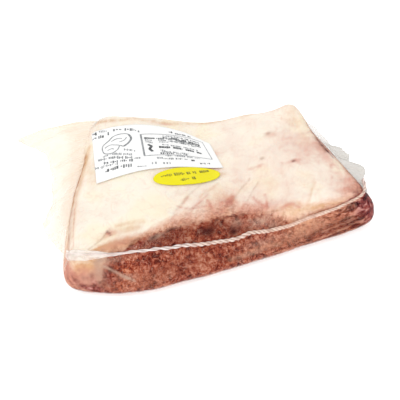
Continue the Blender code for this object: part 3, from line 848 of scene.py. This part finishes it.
def thin_lines(tree, vector, size, detail, bend, width, most):
    """Fine winding lines about a size apart, of a width in the noise they are cut from."""
    wave = add(tree, "TexNoise", {
        "Vector": vector, "Scale": 1 / size, "Detail": detail, "Distortion": bend,
    })
    off = add(tree, "Math", {0: wave, 1: 0.5}, operation="SUBTRACT")
    gap = add(tree, "Math", {0: off}, operation="ABSOLUTE")
    return add(tree, "MapRange", {
        "Value": gap, "From Min": 0.0, "From Max": width, "To Min": most, "To Max": 0.0,
    })


def lay_over(tree, colour, layers):
    """A colour with others laid over it: how much of each, the colour, and its blend."""
    for amount, over, blend in layers:
        colour = add(tree, "Mix", {
            0: amount, 6: colour, 7: over,
        }, out=2, data_type="RGBA", blend_type=blend)
    return colour


def make_raw_beef():
    """Raw beef: cream fat stained salmon and tan towards the cut, and coarse brown-red lean
    with dark clefts between its bundles and pale threads through it, which are partly
    painted glints of the film."""
    material, tree, shader = new_material("raw_beef")
    spot = add(tree, "TexCoord", out="Object")
    mark = {}
    for name in MARK_NAMES + ("depth", "fray", "stain", "strand"):
        mark[name] = add(tree, "Attribute", out="Fac", attribute_name=name)

    # lean: bundles 3.6 mm across, drawn out into strands towards the right end
    long = add(tree, "Mapping", {
        "Vector": spot, "Rotation": (0.0, 0.0, 0.08), "Scale": (0.36, 1.0, 1.0),
    })
    bundle = bundle_tone(tree, spot, size=0.0036, contrast=2.4)
    strand = bundle_tone(tree, long, size=0.0033, contrast=4.6)
    tissue = add(tree, "Mix", {0: mark["strand"], 2: bundle, 3: strand})
    group = add(tree, "TexNoise", {"Vector": spot, "Scale": 1 / 0.013, "Detail": 3.0})
    grouped = add(tree, "Math", {0: group, 1: 0.75, 2: -0.775}, operation="MULTIPLY_ADD")
    mottle = add(tree, "Math", {0: tissue, 1: grouped}, operation="ADD")
    torn = add(tree, "ValToRGB", {"Fac": mottle}, stops=[
        (0.22, "#4E160E"), (0.38, "#7A2E1E"), (0.52, "#9C4B35"), (0.66, "#B4674D"), (0.86, "#D29A80"),
    ])
    broad = add(tree, "TexNoise", {"Vector": spot, "Scale": 1 / 0.024, "Detail": 2.0})
    tone = add(tree, "ValToRGB", {"Fac": broad}, stops=[
        (0.35, "#E4B4AC"), (0.5, "#FFFFFF"), (0.66, "#FFDDBB"),
    ])
    # pale threads: thin fat, and partly painted glints of the film on the lean's grain
    thread = thin_lines(tree, spot, size=0.009, detail=2.0, bend=1.0, width=0.02, most=0.5)
    lean_colour = lay_over(tree, torn, [
        (0.6, tone, "MULTIPLY"), (thread, linear("#D8A48C"), "MIX"),
    ])

    # fat: cream, stained towards the cut in streaks that slant across the top
    slant = add(tree, "Mapping", {
        "Vector": spot, "Rotation": (0.0, 0.0, math.radians(66.0)), "Scale": (3.5, 1.0, 1.0),
    }, vector_type="TEXTURE")
    streak = add(tree, "TexNoise", {
        "Vector": slant, "Scale": 1 / 0.0045, "Detail": 6.0, "Roughness": 0.86,
    })
    cloud = add(tree, "TexNoise", {"Vector": spot, "Scale": 1 / 0.02, "Detail": 4.0})
    uneven = add(tree, "Math", {0: streak, 1: cloud}, operation="ADD")
    sway = add(tree, "Math", {0: uneven, 1: 1.0}, operation="SUBTRACT")
    near = add(tree, "Math", {0: mark["stain"], 1: 0.0}, operation="MAXIMUM")
    swing = add(tree, "Math", {0: near, 1: 1.1, 2: 0.45}, operation="MULTIPLY_ADD")
    warmth = add(tree, "Math", {0: sway, 1: swing, 2: near}, operation="MULTIPLY_ADD")
    cream = add(tree, "ValToRGB", {"Fac": warmth}, stops=[
        (0.0, "#FAF1E1"), (0.22, "#F5E3D0"), (0.45, "#EECDB7"), (0.7, "#EABFA6"), (1.0, "#DCA385"),
    ])
    tint = add(tree, "TexNoise", {"Vector": spot, "Scale": 1 / 0.034, "Detail": 2.0})
    cast = add(tree, "ValToRGB", {"Fac": tint}, stops=[
        (0.36, "#F9F4F5"), (0.5, "#FFFFFF"), (0.64, "#FFFDF3"),
    ])
    vein = thin_lines(tree, spot, size=0.016, detail=3.0, bend=0.8, width=0.03, most=0.2)
    layers = [(0.85, cast, "MULTIPLY"), (vein, linear("#E3B9A6"), "MIX")]
    patch = add(tree, "Math", {0: sway, 1: 1.6, 2: 0.85}, operation="MULTIPLY_ADD")
    # brown is partly painted shade, where its lines follow folds of the top
    for name, colour in (("tan", "#D9AC80"), ("blush", "#DE9F8C"), ("brown", "#A56A48")):
        amount = add(tree, "Math", {0: mark[name], 1: patch}, operation="MULTIPLY", use_clamp=True)
        layers.append((amount, linear(colour), "MIX"))
    fleck = add(tree, "ValToRGB", {"Fac": mottle}, stops=[(0.3, "#C08C7A"), (0.56, "#FFFFFF")])
    flecked = add(tree, "Math", {0: near, 1: 0.65}, operation="MULTIPLY", use_clamp=True)
    soaked = add(tree, "MapRange", {
        "Value": warmth, "From Min": 0.5, "From Max": 1.4, "To Min": 0.0, "To Max": 0.45,
    })
    juice = add(tree, "Math", {
        0: mark["blush"], 1: 0.18, 2: soaked,
    }, operation="MULTIPLY_ADD", use_clamp=True)
    layers += [(flecked, fleck, "MULTIPLY"), (juice, lean_colour, "MIX")]

    # lean over fat along a ragged edge, then the marks
    fringe = add(tree, "TexNoise", {
        "Vector": spot, "Scale": 1 / 0.0034, "Detail": 4.0, "Roughness": 0.6,
    })
    jag = add(tree, "Math", {0: fringe, 1: 5.2, 2: -2.6}, operation="MULTIPLY_ADD")
    share = add(tree, "Math", {0: mark["depth"], 1: mark["fray"]}, operation="DIVIDE")
    at = add(tree, "Math", {0: share, 1: jag}, operation="ADD")
    lean = add(tree, "MapRange", {
        "Value": at, "From Min": -1.0, "From Max": 0.6,
    }, interpolation_type="SMOOTHSTEP")
    layers.append((lean, lean_colour, "MIX"))
    # the sinew colour also paints the film's grey sheen over the lean
    for name, colour, most in (
        ("pale", "#D29A7C", 0.62), ("sinew_and_sheen", "#BC9884", 0.75), ("dark", "#43130D", 0.75),
    ):
        patchy = add(tree, "Math", {0: tissue, 1: 1.2 * most}, operation="MULTIPLY")
        amount = add(tree, "Math", {0: mark[name], 1: patchy}, operation="MULTIPLY", use_clamp=True)
        layers.append((amount, linear(colour), "MIX"))
    blood = add(tree, "ValToRGB", {"Fac": mottle}, stops=[
        (0.26, "#2E0609"), (0.42, "#5C151B"), (0.54, "#7E2A2B"), (0.7, "#9E554C"), (0.86, "#C8948A"),
    ])
    layers.append((mark["wine"], blood, "MIX"))
    relief = add(tree, "Math", {0: tissue, 1: lean}, operation="MULTIPLY")
    bump = add(tree, "Bump", {"Height": relief, "Strength": 0.15, "Distance": 0.0015})
    fill(tree, shader, {
        "Base Color": lay_over(tree, cream, layers), "Roughness": 0.6, "Specular IOR Level": 0.05,
        "Subsurface Weight": 0.08, "Subsurface Radius": (1.0, 0.4, 0.25), "Subsurface Scale": 0.003,
        "Normal": bump,
    })
    return material


# ---- film
def make_film(name, gloss_rough, wrinkle_mm, folded="#F4F2EE"):
    """Clear shrink film: colourless, glossy, and milky where it is folded on itself."""
    material, tree, shader = new_material(name)
    spot = add(tree, "TexCoord", out="Object")
    fine = add(tree, "TexNoise", {
        "Vector": spot, "Scale": 1000 / wrinkle_mm, "Detail": 2.0, "Distortion": 1.2,
    })
    bump = add(tree, "Bump", {"Height": fine, "Strength": 0.3, "Distance": 0.001})
    clear = add(tree, "BsdfTransparent")
    mirror = add(tree, "BsdfGlossy", {"Roughness": gloss_rough, "Normal": bump})
    slope = add(tree, "LayerWeight", {"Blend": 0.5}, out="Facing")
    steep = add(tree, "Math", {0: slope, 1: 5.0}, operation="POWER")
    shine = add(tree, "Math", {0: steep, 1: 0.07, 2: 0.01}, operation="MULTIPLY_ADD")
    skin = add(tree, "MixShader", {0: shine, 1: clear, 2: mirror})
    fill(tree, shader, {"Base Color": linear(folded), "Roughness": 0.4})
    milky = add(tree, "Attribute", out="Fac", attribute_name="haze")
    whole = add(tree, "MixShader", {0: milky, 1: skin, 2: shader.outputs[0]})
    fill(tree, tree.nodes["Material Output"], {"Surface": whole})
    return material


def make_twisted_film():
    """Film rolled into a string: milky, whiter at its loose end, pinkish where juice is held,
    with painted shade in the grooves between its strands.
    """
    material, tree, shader = new_material("twisted_film")
    spot = add(tree, "TexCoord", out="Object")
    patch = add(tree, "TexNoise", {"Vector": spot, "Scale": 1 / 0.006, "Detail": 2.0})
    loose, groove_shade = (
        add(tree, "Attribute", out="Fac", attribute_name=name) for name in ("loose", "groove_shade")
    )
    pink = add(tree, "ValToRGB", {"Fac": patch}, stops=[
        (0.34, "#D2AC9A"), (0.48, "#E2C2B0"), (0.64, "#EED8C8"),
    ])
    white = add(tree, "ValToRGB", {"Fac": patch}, stops=[
        (0.34, "#DCC6C0"), (0.48, "#EADAD4"), (0.64, "#F4E9E4"),
    ])
    # painted shade for the grooves between the strands, paler at the loose end
    shade = lay_over(tree, linear("#A8785F"), [(loose, linear("#BFA8A0"), "MIX")])
    tone = lay_over(tree, pink, [(loose, white, "MIX"), (groove_shade, shade, "MIX")])
    fill(tree, shader, {"Base Color": tone, "Roughness": 0.35})
    return material


def make_skin(material):
    """The film shrunk on the slab, which bridges the lean's clefts and is milky at its foot
    and on two rims. Gives its surface, for the papers to lie on."""
    grid = SlabGrid(FILM_ROWS)
    free = 1.0 - label_zone(grid.places) * grid.on_top
    creases = bell(lumps(grid.places, 0.016, 3), 0.0, 0.05)
    grid.raise_by(FILM_LIFT + skin_relief(grid) + CREASE_HEIGHT * creases * free, 0.0)
    foot = bell(grid.places[:, 2], 0.0035, 0.0030)
    corner = bell(grid.turn, 3.0, 0.10) * bell(grid.run, -2.0, 7.0)
    rim = bell(grid.turn, 1.50, 0.30) * bell(grid.run, -0.5, 2.8)
    haze = 0.03 * creases * free * grid.on_top + 0.3 * foot + 0.6 * corner + 0.6 * rim
    surface = BVHTree.FromBMesh(grid.form)
    make_piece("clear_skin", grid.form, material, "sealed_bag", {"haze": haze})
    return surface


def make_flap(name, root, edge, rows, ripples, crumple, ragged, milk, material):
    """Spare film beyond the slab: a sheet from its root on the wall to its torn edge."""
    form = bmesh.new()
    points, u, v = grid_points(form, rows)
    out, along = (u + 1) / 2, (v + 1) / 2
    inner = slab_line(*read_line(root, along).T)
    inner[:, :2] = SLAB_CORE + (inner[:, :2] - SLAB_CORE) * FILM_ROOT
    outer = read_line(edge, along)
    torn = lumps(np.column_stack([along * 0.2, along * 0, along * 0]), 0.009, 4)
    outer[:, :2] += unit(outer[:, :2] - SLAB_CORE) * torn[:, None] * ragged
    places = inner + (outer - inner) * out[:, None]
    places[:, 2] = inner[:, 2] + (outer[:, 2] - inner[:, 2]) * out ** FILM_DROOP
    rays = np.sin(along * ripples * math.tau + 2.5 * lumps(places, 0.03, 2))
    folds = lumps(np.column_stack([along * 0.2, out * 0.010, along * 0]), 0.012, 3)
    places[:, 2] += (RIPPLE_HEIGHT * rays + FOLD_HEIGHT * folds) * out
    jumble = np.column_stack([lumps(places + shift, 0.014, 2) for shift in (0.0, 0.3, 0.6)])
    places += crumple * jumble * out[:, None]
    places[:, 2] = np.maximum(places[:, 2], FLAP_FOOT)
    move_points(points, places)
    bmesh.ops.recalc_face_normals(form, faces=form.faces)
    at_root, at_edge = (read_steps(column, along) for column in zip(*milk))
    haze = at_root + (at_edge - at_root) * smooth_step((out - 0.40) / 0.25)
    haze *= 0.8 + 0.4 * bell(folds, 0.0, 0.10)
    make_piece(name, form, material, "sealed_bag", {"haze": haze}, wall=FLAP_WALL)


def tube_form(form, path, side_way, radii, sides):
    """Add a closed tube along a path, and give the row of the path each new point is on.
    side_way points across it at each of the path's points."""
    before = len(form.verts)
    made = bmesh.ops.create_cone(
        form, cap_ends=True, segments=sides, radius1=1.0, radius2=1.0, depth=2.0)["verts"]
    along = []
    for edge in {edge for vert in made for edge in vert.link_edges}:
        if abs(edge.verts[0].co.z - edge.verts[1].co.z) > 1.0:
            along.append(edge)
    bmesh.ops.subdivide_edges(form, edges=along, cuts=len(path) - 2, use_grid_fill=True)
    ahead = unit(np.gradient(path, axis=0))
    first = unit(side_way - ahead * (side_way * ahead).sum(axis=1)[:, None])
    second = np.cross(ahead, first)
    rows = []
    for vert in list(form.verts)[before:]:
        row = int(round((vert.co.z + 1) / 2 * (len(path) - 1)))
        rows.append(row)
        angle = math.atan2(vert.co.y, vert.co.x)
        way = math.cos(angle) * first[row] + math.sin(angle) * second[row]
        vert.co = path[row] + radii[row] * way
    return rows


def wall_route(levels):
    """A fine route on the slab's wall, with the way out of the wall at each place."""
    line = spline(levels, 24, closed=False)
    lengths = lengths_along(slab_line(*line.T))
    steps = np.linspace(0.0, lengths[-1], int(lengths[-1] * RINGS_PER_METRE))
    turn, level = (np.interp(steps, lengths, column) for column in line.T)
    ahead = slab_line(turn + 0.002, level) - slab_line(turn - 0.002, level)
    up = slab_line(turn, level + 0.03) - slab_line(turn, level - 0.03)
    out = unit(np.cross(ahead, up))
    return slab_line(turn, level), out, steps


def make_pleat(name, levels, shares, pitches, tail, material, seed):
    """Spare film rolled into two strands, twisted round each other along the wall and on
    through the tail's places. Shares give its thickness and pitches its twist at even
    steps of the way."""
    route, out, steps = wall_route(levels)
    ahead = unit(np.gradient(route, axis=0))
    route = route + out * PLEAT_LIFT
    if tail:
        free = spline([tuple(route[-1])] + tail, 60, closed=False)[1:]
        route = np.vstack([route, free])
        out = np.vstack([out, np.repeat(out[-1:], len(free), axis=0)])
        steps = lengths_along(route)
        ahead = unit(np.gradient(route, axis=0))
    across = unit(np.cross(ahead, out))
    track = np.column_stack([steps, steps * 0 + seed, steps * 0])
    pitch = read_steps(pitches, steps / steps[-1]) * (1.0 + 0.35 * lumps(track, 0.05, 1))
    angle = np.cumsum(np.gradient(steps) / pitch) * math.tau
    share = read_steps(shares, steps / steps[-1])
    form = bmesh.new()
    loose, groove_shade = [], []
    for number in range(2):
        swing = angle + number * math.pi
        side_way = np.cos(swing)[:, None] * out + np.sin(swing)[:, None] * across
        path = route + side_way * (STRAND_SWING * share)[:, None]
        radii = STRAND_RADIUS * share * (1.0 + 0.25 * lumps(track + number, 0.006, 3))
        rows = tube_form(form, path, side_way, radii, STRAND_SIDES)
        places = np.array([vert.co for vert in list(form.verts)[-len(rows):]])
        # near the pleat's middle, where the strands meet, the colour is painted shade
        off = np.linalg.norm(places - route[rows], axis=1) / (STRAND_RADIUS * share[rows])
        groove_shade.append(np.clip((1.40 - off) / 0.5, 0.0, 1.0))
        loose.append(np.clip((pitch[rows] - 0.008) / 0.012, 0.0, 1.0))
    bmesh.ops.recalc_face_normals(form, faces=form.faces)
    values = {"loose": np.concatenate(loose), "groove_shade": np.concatenate(groove_shade)}
    make_piece(name, form, material, "sealed_bag", values)


def make_band(name, levels, widths, material):
    """Film folded flat against the wall, where the pleat opens out."""
    route, out, steps = wall_route(levels)
    across = unit(np.cross(unit(np.gradient(route, axis=0)), out))
    form = bmesh.new()
    points, u, v = grid_points(form, (len(route) // 2, 8))
    at = (u + 1) / 2
    row = np.clip(np.round(at * (len(route) - 1)).astype(int), 0, len(route) - 1)
    half = read_steps(widths, at) / 2
    ruck = lumps(np.column_stack([steps[row] * 0.3, v * 0.004, at * 0]), 0.0022, 3)
    rise = BAND_LIFT + BAND_BULGE * (1 - v ** 2) + BAND_RUCKS * ruck
    move_points(points, route[row] + across[row] * (half * v)[:, None] + out[row] * rise[:, None])
    bmesh.ops.recalc_face_normals(form, faces=form.faces)
    haze = np.clip(0.40 + 0.35 * ruck + 0.2 * bell(v, -0.75, 0.15), 0.1, 0.95)
    make_piece(name, form, material, "sealed_bag", {"haze": haze}, wall=FLAP_WALL)


# ---- paper and print
def label_place(u, v, far_line=LABEL_FAR):
    """Where a place on the label, from -1 to 1 each way, lies in plan."""
    near, far = (read_line(line, (u + 1) / 2) for line in (LABEL_NEAR, far_line))
    return near + (far - near) * ((v + 1) / 2)[:, None]


def print_place(u, v):
    """The same for its print, which ends short of the creased far side."""
    return label_place(u, v, PRINT_FAR)


def oval_place(u, v):
    """Where a place on the sticker lies in plan: a square from -1 to 1 made an ellipse."""
    a = u * np.sqrt(1 - v * v / 2) * STICKER_SIZE[0] / 2
    b = v * np.sqrt(1 - u * u / 2) * STICKER_SIZE[1] / 2
    return sticker_place(a, b)


def sticker_place(a, b):
    """Plan of a place in metres along and across the sticker from its middle."""
    cosine, sine = math.cos(STICKER_TURN), math.sin(STICKER_TURN)
    return np.column_stack([a * cosine - b * sine, a * sine + b * cosine]) + STICKER_MIDDLE


def lay(points, plan, skin, gap):
    """Drop points on the film from above, a gap clear of it."""
    for point, (x, y) in zip(points, plan):
        hit = skin.ray_cast(Vector((x, y, DROP_HEIGHT)), Vector((0.0, 0.0, -1.0)))[0]
        point.co = (x, y, hit.z + gap)


def make_paper(name, node, rows, place_of, skin, material):
    form = bmesh.new()
    points, u, v = grid_points(form, rows)
    lay(points, place_of(u, v), skin, PAPER_GAP)
    bmesh.ops.recalc_face_normals(form, faces=form.faces)
    make_piece(name, form, material, node, wall=PAPER_WALL, outward=1.0)


def add_bar(form, start, end, half, place_of, skin):
    """Add a flat bar of print from start to end, in the paper's own measure."""
    ends = place_of(*np.array([start, end]).T)
    count = max(1, round(np.linalg.norm(ends[1] - ends[0]) / BAR_STEP))
    points, u, v = grid_points(form, (count, 1))
    a, b = (start[k] + (end[k] - start[k]) * (u + 1) / 2 + half[k] * v for k in (0, 1))
    lay(points, place_of(a, b), skin, PRINT_GAP)


def add_stroke(form, points, wide, skin):
    """Add a line of print through points on the label, its width in millimetres."""
    for start, end in zip(np.array(points), np.array(points)[1:]):
        run = (end - start) / LABEL_MILLIMETRE
        run /= np.linalg.norm(run)
        half = np.array([-run[1], run[0]]) * wide / 2 * LABEL_MILLIMETRE
        add_bar(form, start, end, half, print_place, skin)


def add_marks(form, row, millimetre, rng, place_of, skin):
    """Add a row of print: short upright marks in groups, which spell nothing."""
    start, end = np.array(row[:2]), np.array(row[2:4])
    tall, wide, gap = np.multiply(row[4:7], MARK_SCALES)
    length = np.linalg.norm((end - start) / millimetre)
    along = (end - start) / length
    at = 0.0
    left_in_group = rng.integers(3, 8)
    while at < length - wide / 2:
        mark_wide = wide * rng.uniform(0.6, 1.25)
        reach = 1.15 * tall / 2 * rng.uniform(0.62, 1.0)
        shift = rng.choice([-1.0, 1.0]) * (tall / 2 - reach) * 0.8
        low = start + along * at + np.array([0.0, shift]) * millimetre
        if rng.uniform() < 0.3:
            reach *= 0.4
        add_bar(form, low, low + along * mark_wide, (0.0, reach * millimetre[1]), place_of, skin)
        at += mark_wide + gap
        left_in_group -= 1
        if left_in_group == 0:
            at += 1.2 * wide
            left_in_group = rng.integers(3, 8)


def finish_print(name, form, node, material):
    """Make the bars one piece, all face up."""
    bmesh.ops.recalc_face_normals(form, faces=form.faces)
    for face in form.faces:
        if face.normal.z < 0:
            face.normal_flip()
    make_piece(name, form, material, node, wall=PRINT_WALL, outward=1.0)


def make_label_print(skin, inks):
    """Rows of marks, a frame and a lobed outline, a piece for each weight of print."""
    rng = np.random.default_rng(PRINT_SEED)
    forms = {weight: bmesh.new() for weight in inks}
    for row in LABEL_PRINT:
        add_marks(forms[row[7]], row, LABEL_MILLIMETRE, rng, print_place, skin)
    outline = spline(OUTLINE_POINTS, 5, closed=True)
    strokes = [
        ("fine", FRAME_CORNERS + FRAME_CORNERS[:1], FRAME_LINE),
        ("mid", [FRAME_CORNERS[0], FRAME_CORNERS[3]], THICK_LINE),
        ("fine", [*outline, outline[0]], OUTLINE_LINE),
        ("mid", spline(SHADED_SIDE, 5, closed=False), SHADED_LINE),
        *(("fine", spline(vein, 4, closed=False), VEIN_LINE) for vein in VEINS),
        ("bold", KNOT, KNOT_LINE),
    ]
    for weight, points, wide in strokes:
        add_stroke(forms[weight], points, wide, skin)
    for weight, form in forms.items():
        finish_print("label_print_" + weight, form, "main_label", inks[weight])


def make_sticker_print(skin, ink):
    rng = np.random.default_rng(PRINT_SEED + 1)
    form = bmesh.new()
    for row in STICKER_PRINT:
        places = tuple(number / 1000 for number in row[:4])
        add_marks(form, places + row[4:], np.array([0.001, 0.001]), rng, sticker_place, skin)
    finish_print("sticker_print", form, "oval_sticker", ink)


def make_coated_paper(name, colour, shade):
    """Coated paper under film: even, with faint cockling and a soft shine."""
    material, tree, shader = new_material(name)
    spot = add(tree, "TexCoord", out="Object")
    cockle = add(tree, "TexNoise", {"Vector": spot, "Scale": 1 / 0.009, "Detail": 3.0})
    tone = add(tree, "Mix", {0: cockle, 6: linear(shade), 7: linear(colour)}, out=2, data_type="RGBA")
    bump = add(tree, "Bump", {"Height": cockle, "Strength": 0.4, "Distance": 0.0012})
    fill(tree, shader, {
        "Base Color": tone, "Roughness": 0.35, "Specular IOR Level": 0.15, "Normal": bump,
    })
    return material


def make_ink(name, dark, light):
    """Thermal print: dry, uneven in its darkness."""
    material, tree, shader = new_material(name)
    spot = add(tree, "TexCoord", out="Object")
    blotch = add(tree, "TexNoise", {"Vector": spot, "Scale": 1 / 0.0035, "Detail": 2.0})
    spread = add(tree, "MapRange", {"Value": blotch, "From Min": 0.35, "From Max": 0.65})
    tone = add(tree, "Mix", {0: spread, 6: linear(dark), 7: linear(light)}, out=2, data_type="RGBA")
    fill(tree, shader, {"Base Color": tone, "Roughness": 0.5})
    return material


# ---- setting
def make_floor():
    """A white table lit from below, which keeps its shadows faint."""
    material, tree, shader = new_material("white_table")
    fill(tree, shader, {
        "Base Color": linear("#FFFFFF"), "Roughness": 0.8, "Specular IOR Level": 0.0,
        "Emission Color": linear("#FFFFFF"), "Emission Strength": FLOOR_GLOW,
    })
    form = bmesh.new()
    bmesh.ops.create_grid(form, x_segments=1, y_segments=1, size=FLOOR_REACH)
    floor = new_object("floor", new_mesh("floor", form, material))
    floor.location.z = FLOOR_DROP


def make_sun(name, come_from, angle, strength):
    """A broad, even light from one direction, like a big softbox far off."""
    sun = bpy.data.lights.new(name, "SUN")
    sun.angle = math.radians(angle)
    sun.energy = strength
    new_object(name, sun).rotation_euler = Vector(come_from).to_track_quat("Z", "Y").to_euler()


def make_light():
    world = bpy.data.worlds.new("studio")
    world.use_nodes = True
    fill(world.node_tree, world.node_tree.nodes["Background"], {
        "Color": linear("#FFFFFF"), "Strength": SKY_STRENGTH,
    })
    bpy.context.scene.world = world
    make_sun("key", (-0.75, 0.05, 0.95), angle=40, strength=0.70)
    make_sun("back_fill", (0.05, 0.95, 0.60), angle=60, strength=0.60)
    make_sun("front_fill", (0.05, -1.25, 0.75), angle=40, strength=0.90)
    bpy.context.scene.view_settings.view_transform = "Standard"


def make_camera():
    data = bpy.data.cameras.new("camera")
    data.lens = CAMERA_LENS
    data.sensor_width = SENSOR_WIDTH
    data.clip_start = 0.01
    camera = new_object("camera", data)
    back = Vector((
        math.sin(CAMERA_TURN) * math.cos(CAMERA_RISE),
        -math.cos(CAMERA_TURN) * math.cos(CAMERA_RISE),
        math.sin(CAMERA_RISE),
    ))
    camera.location = Vector(CAMERA_AIM) + back * CAMERA_AWAY
    camera.rotation_euler = back.to_track_quat("Z", "Y").to_euler()
    bpy.context.scene.camera = camera


def main():
    make_meat(make_raw_beef())
    skin = make_skin(make_film("shrink_film", gloss_rough=0.12, wrinkle_mm=14))
    make_flap("left_flap", LEFT_ROOT, LEFT_EDGE, LEFT_FLAP_ROWS, ripples=5, crumple=0.0010,
              ragged=0.0025, milk=LEFT_MILK,
              material=make_film("loose_film", 0.15, 9, folded="#FAEAD6"))
    make_flap("right_ear", RIGHT_ROOT, RIGHT_EDGE, RIGHT_EAR_ROWS, ripples=4, crumple=0.0014,
              ragged=0.0010, milk=RIGHT_MILK,
              material=make_film("crumpled_film", 0.25, 6, folded="#E0DCD5"))
    twisted = make_twisted_film()
    make_pleat("front_pleat", FRONT_PLEAT, FRONT_SHARES, FRONT_PITCHES, FRONT_TAIL, twisted, seed=0.0)
    make_pleat("back_pleat", BACK_PLEAT, BACK_SHARES, BACK_PITCHES, [], twisted, seed=0.4)
    folded = make_film("folded_film", 0.2, 6, folded="#FDF5EE")
    make_band("left_band", LEFT_BAND, LEFT_BAND_WIDTHS, folded)
    paper = make_coated_paper("white_label_paper", "#FDFDFD", "#F6F6F4")
    yellow = make_coated_paper("yellow_sticker_paper", "#F4E915", "#EBDE10")
    make_paper("label", "main_label", LABEL_ROWS, label_place, skin, paper)
    make_paper("sticker", "oval_sticker", STICKER_ROWS, oval_place, skin, yellow)
    make_label_print(skin, {
        "bold": make_ink("dark_print", "#35373A", "#686B6E"),
        "mid": make_ink("worn_print", "#5C5F63", "#8E9194"),
        "fine": make_ink("fine_print", "#84878A", "#B2B4B7"),
    })
    make_sticker_print(skin, make_ink("olive_print", "#7A7512", "#B0A81C"))
    make_floor()
    make_light()
    make_camera()


main()
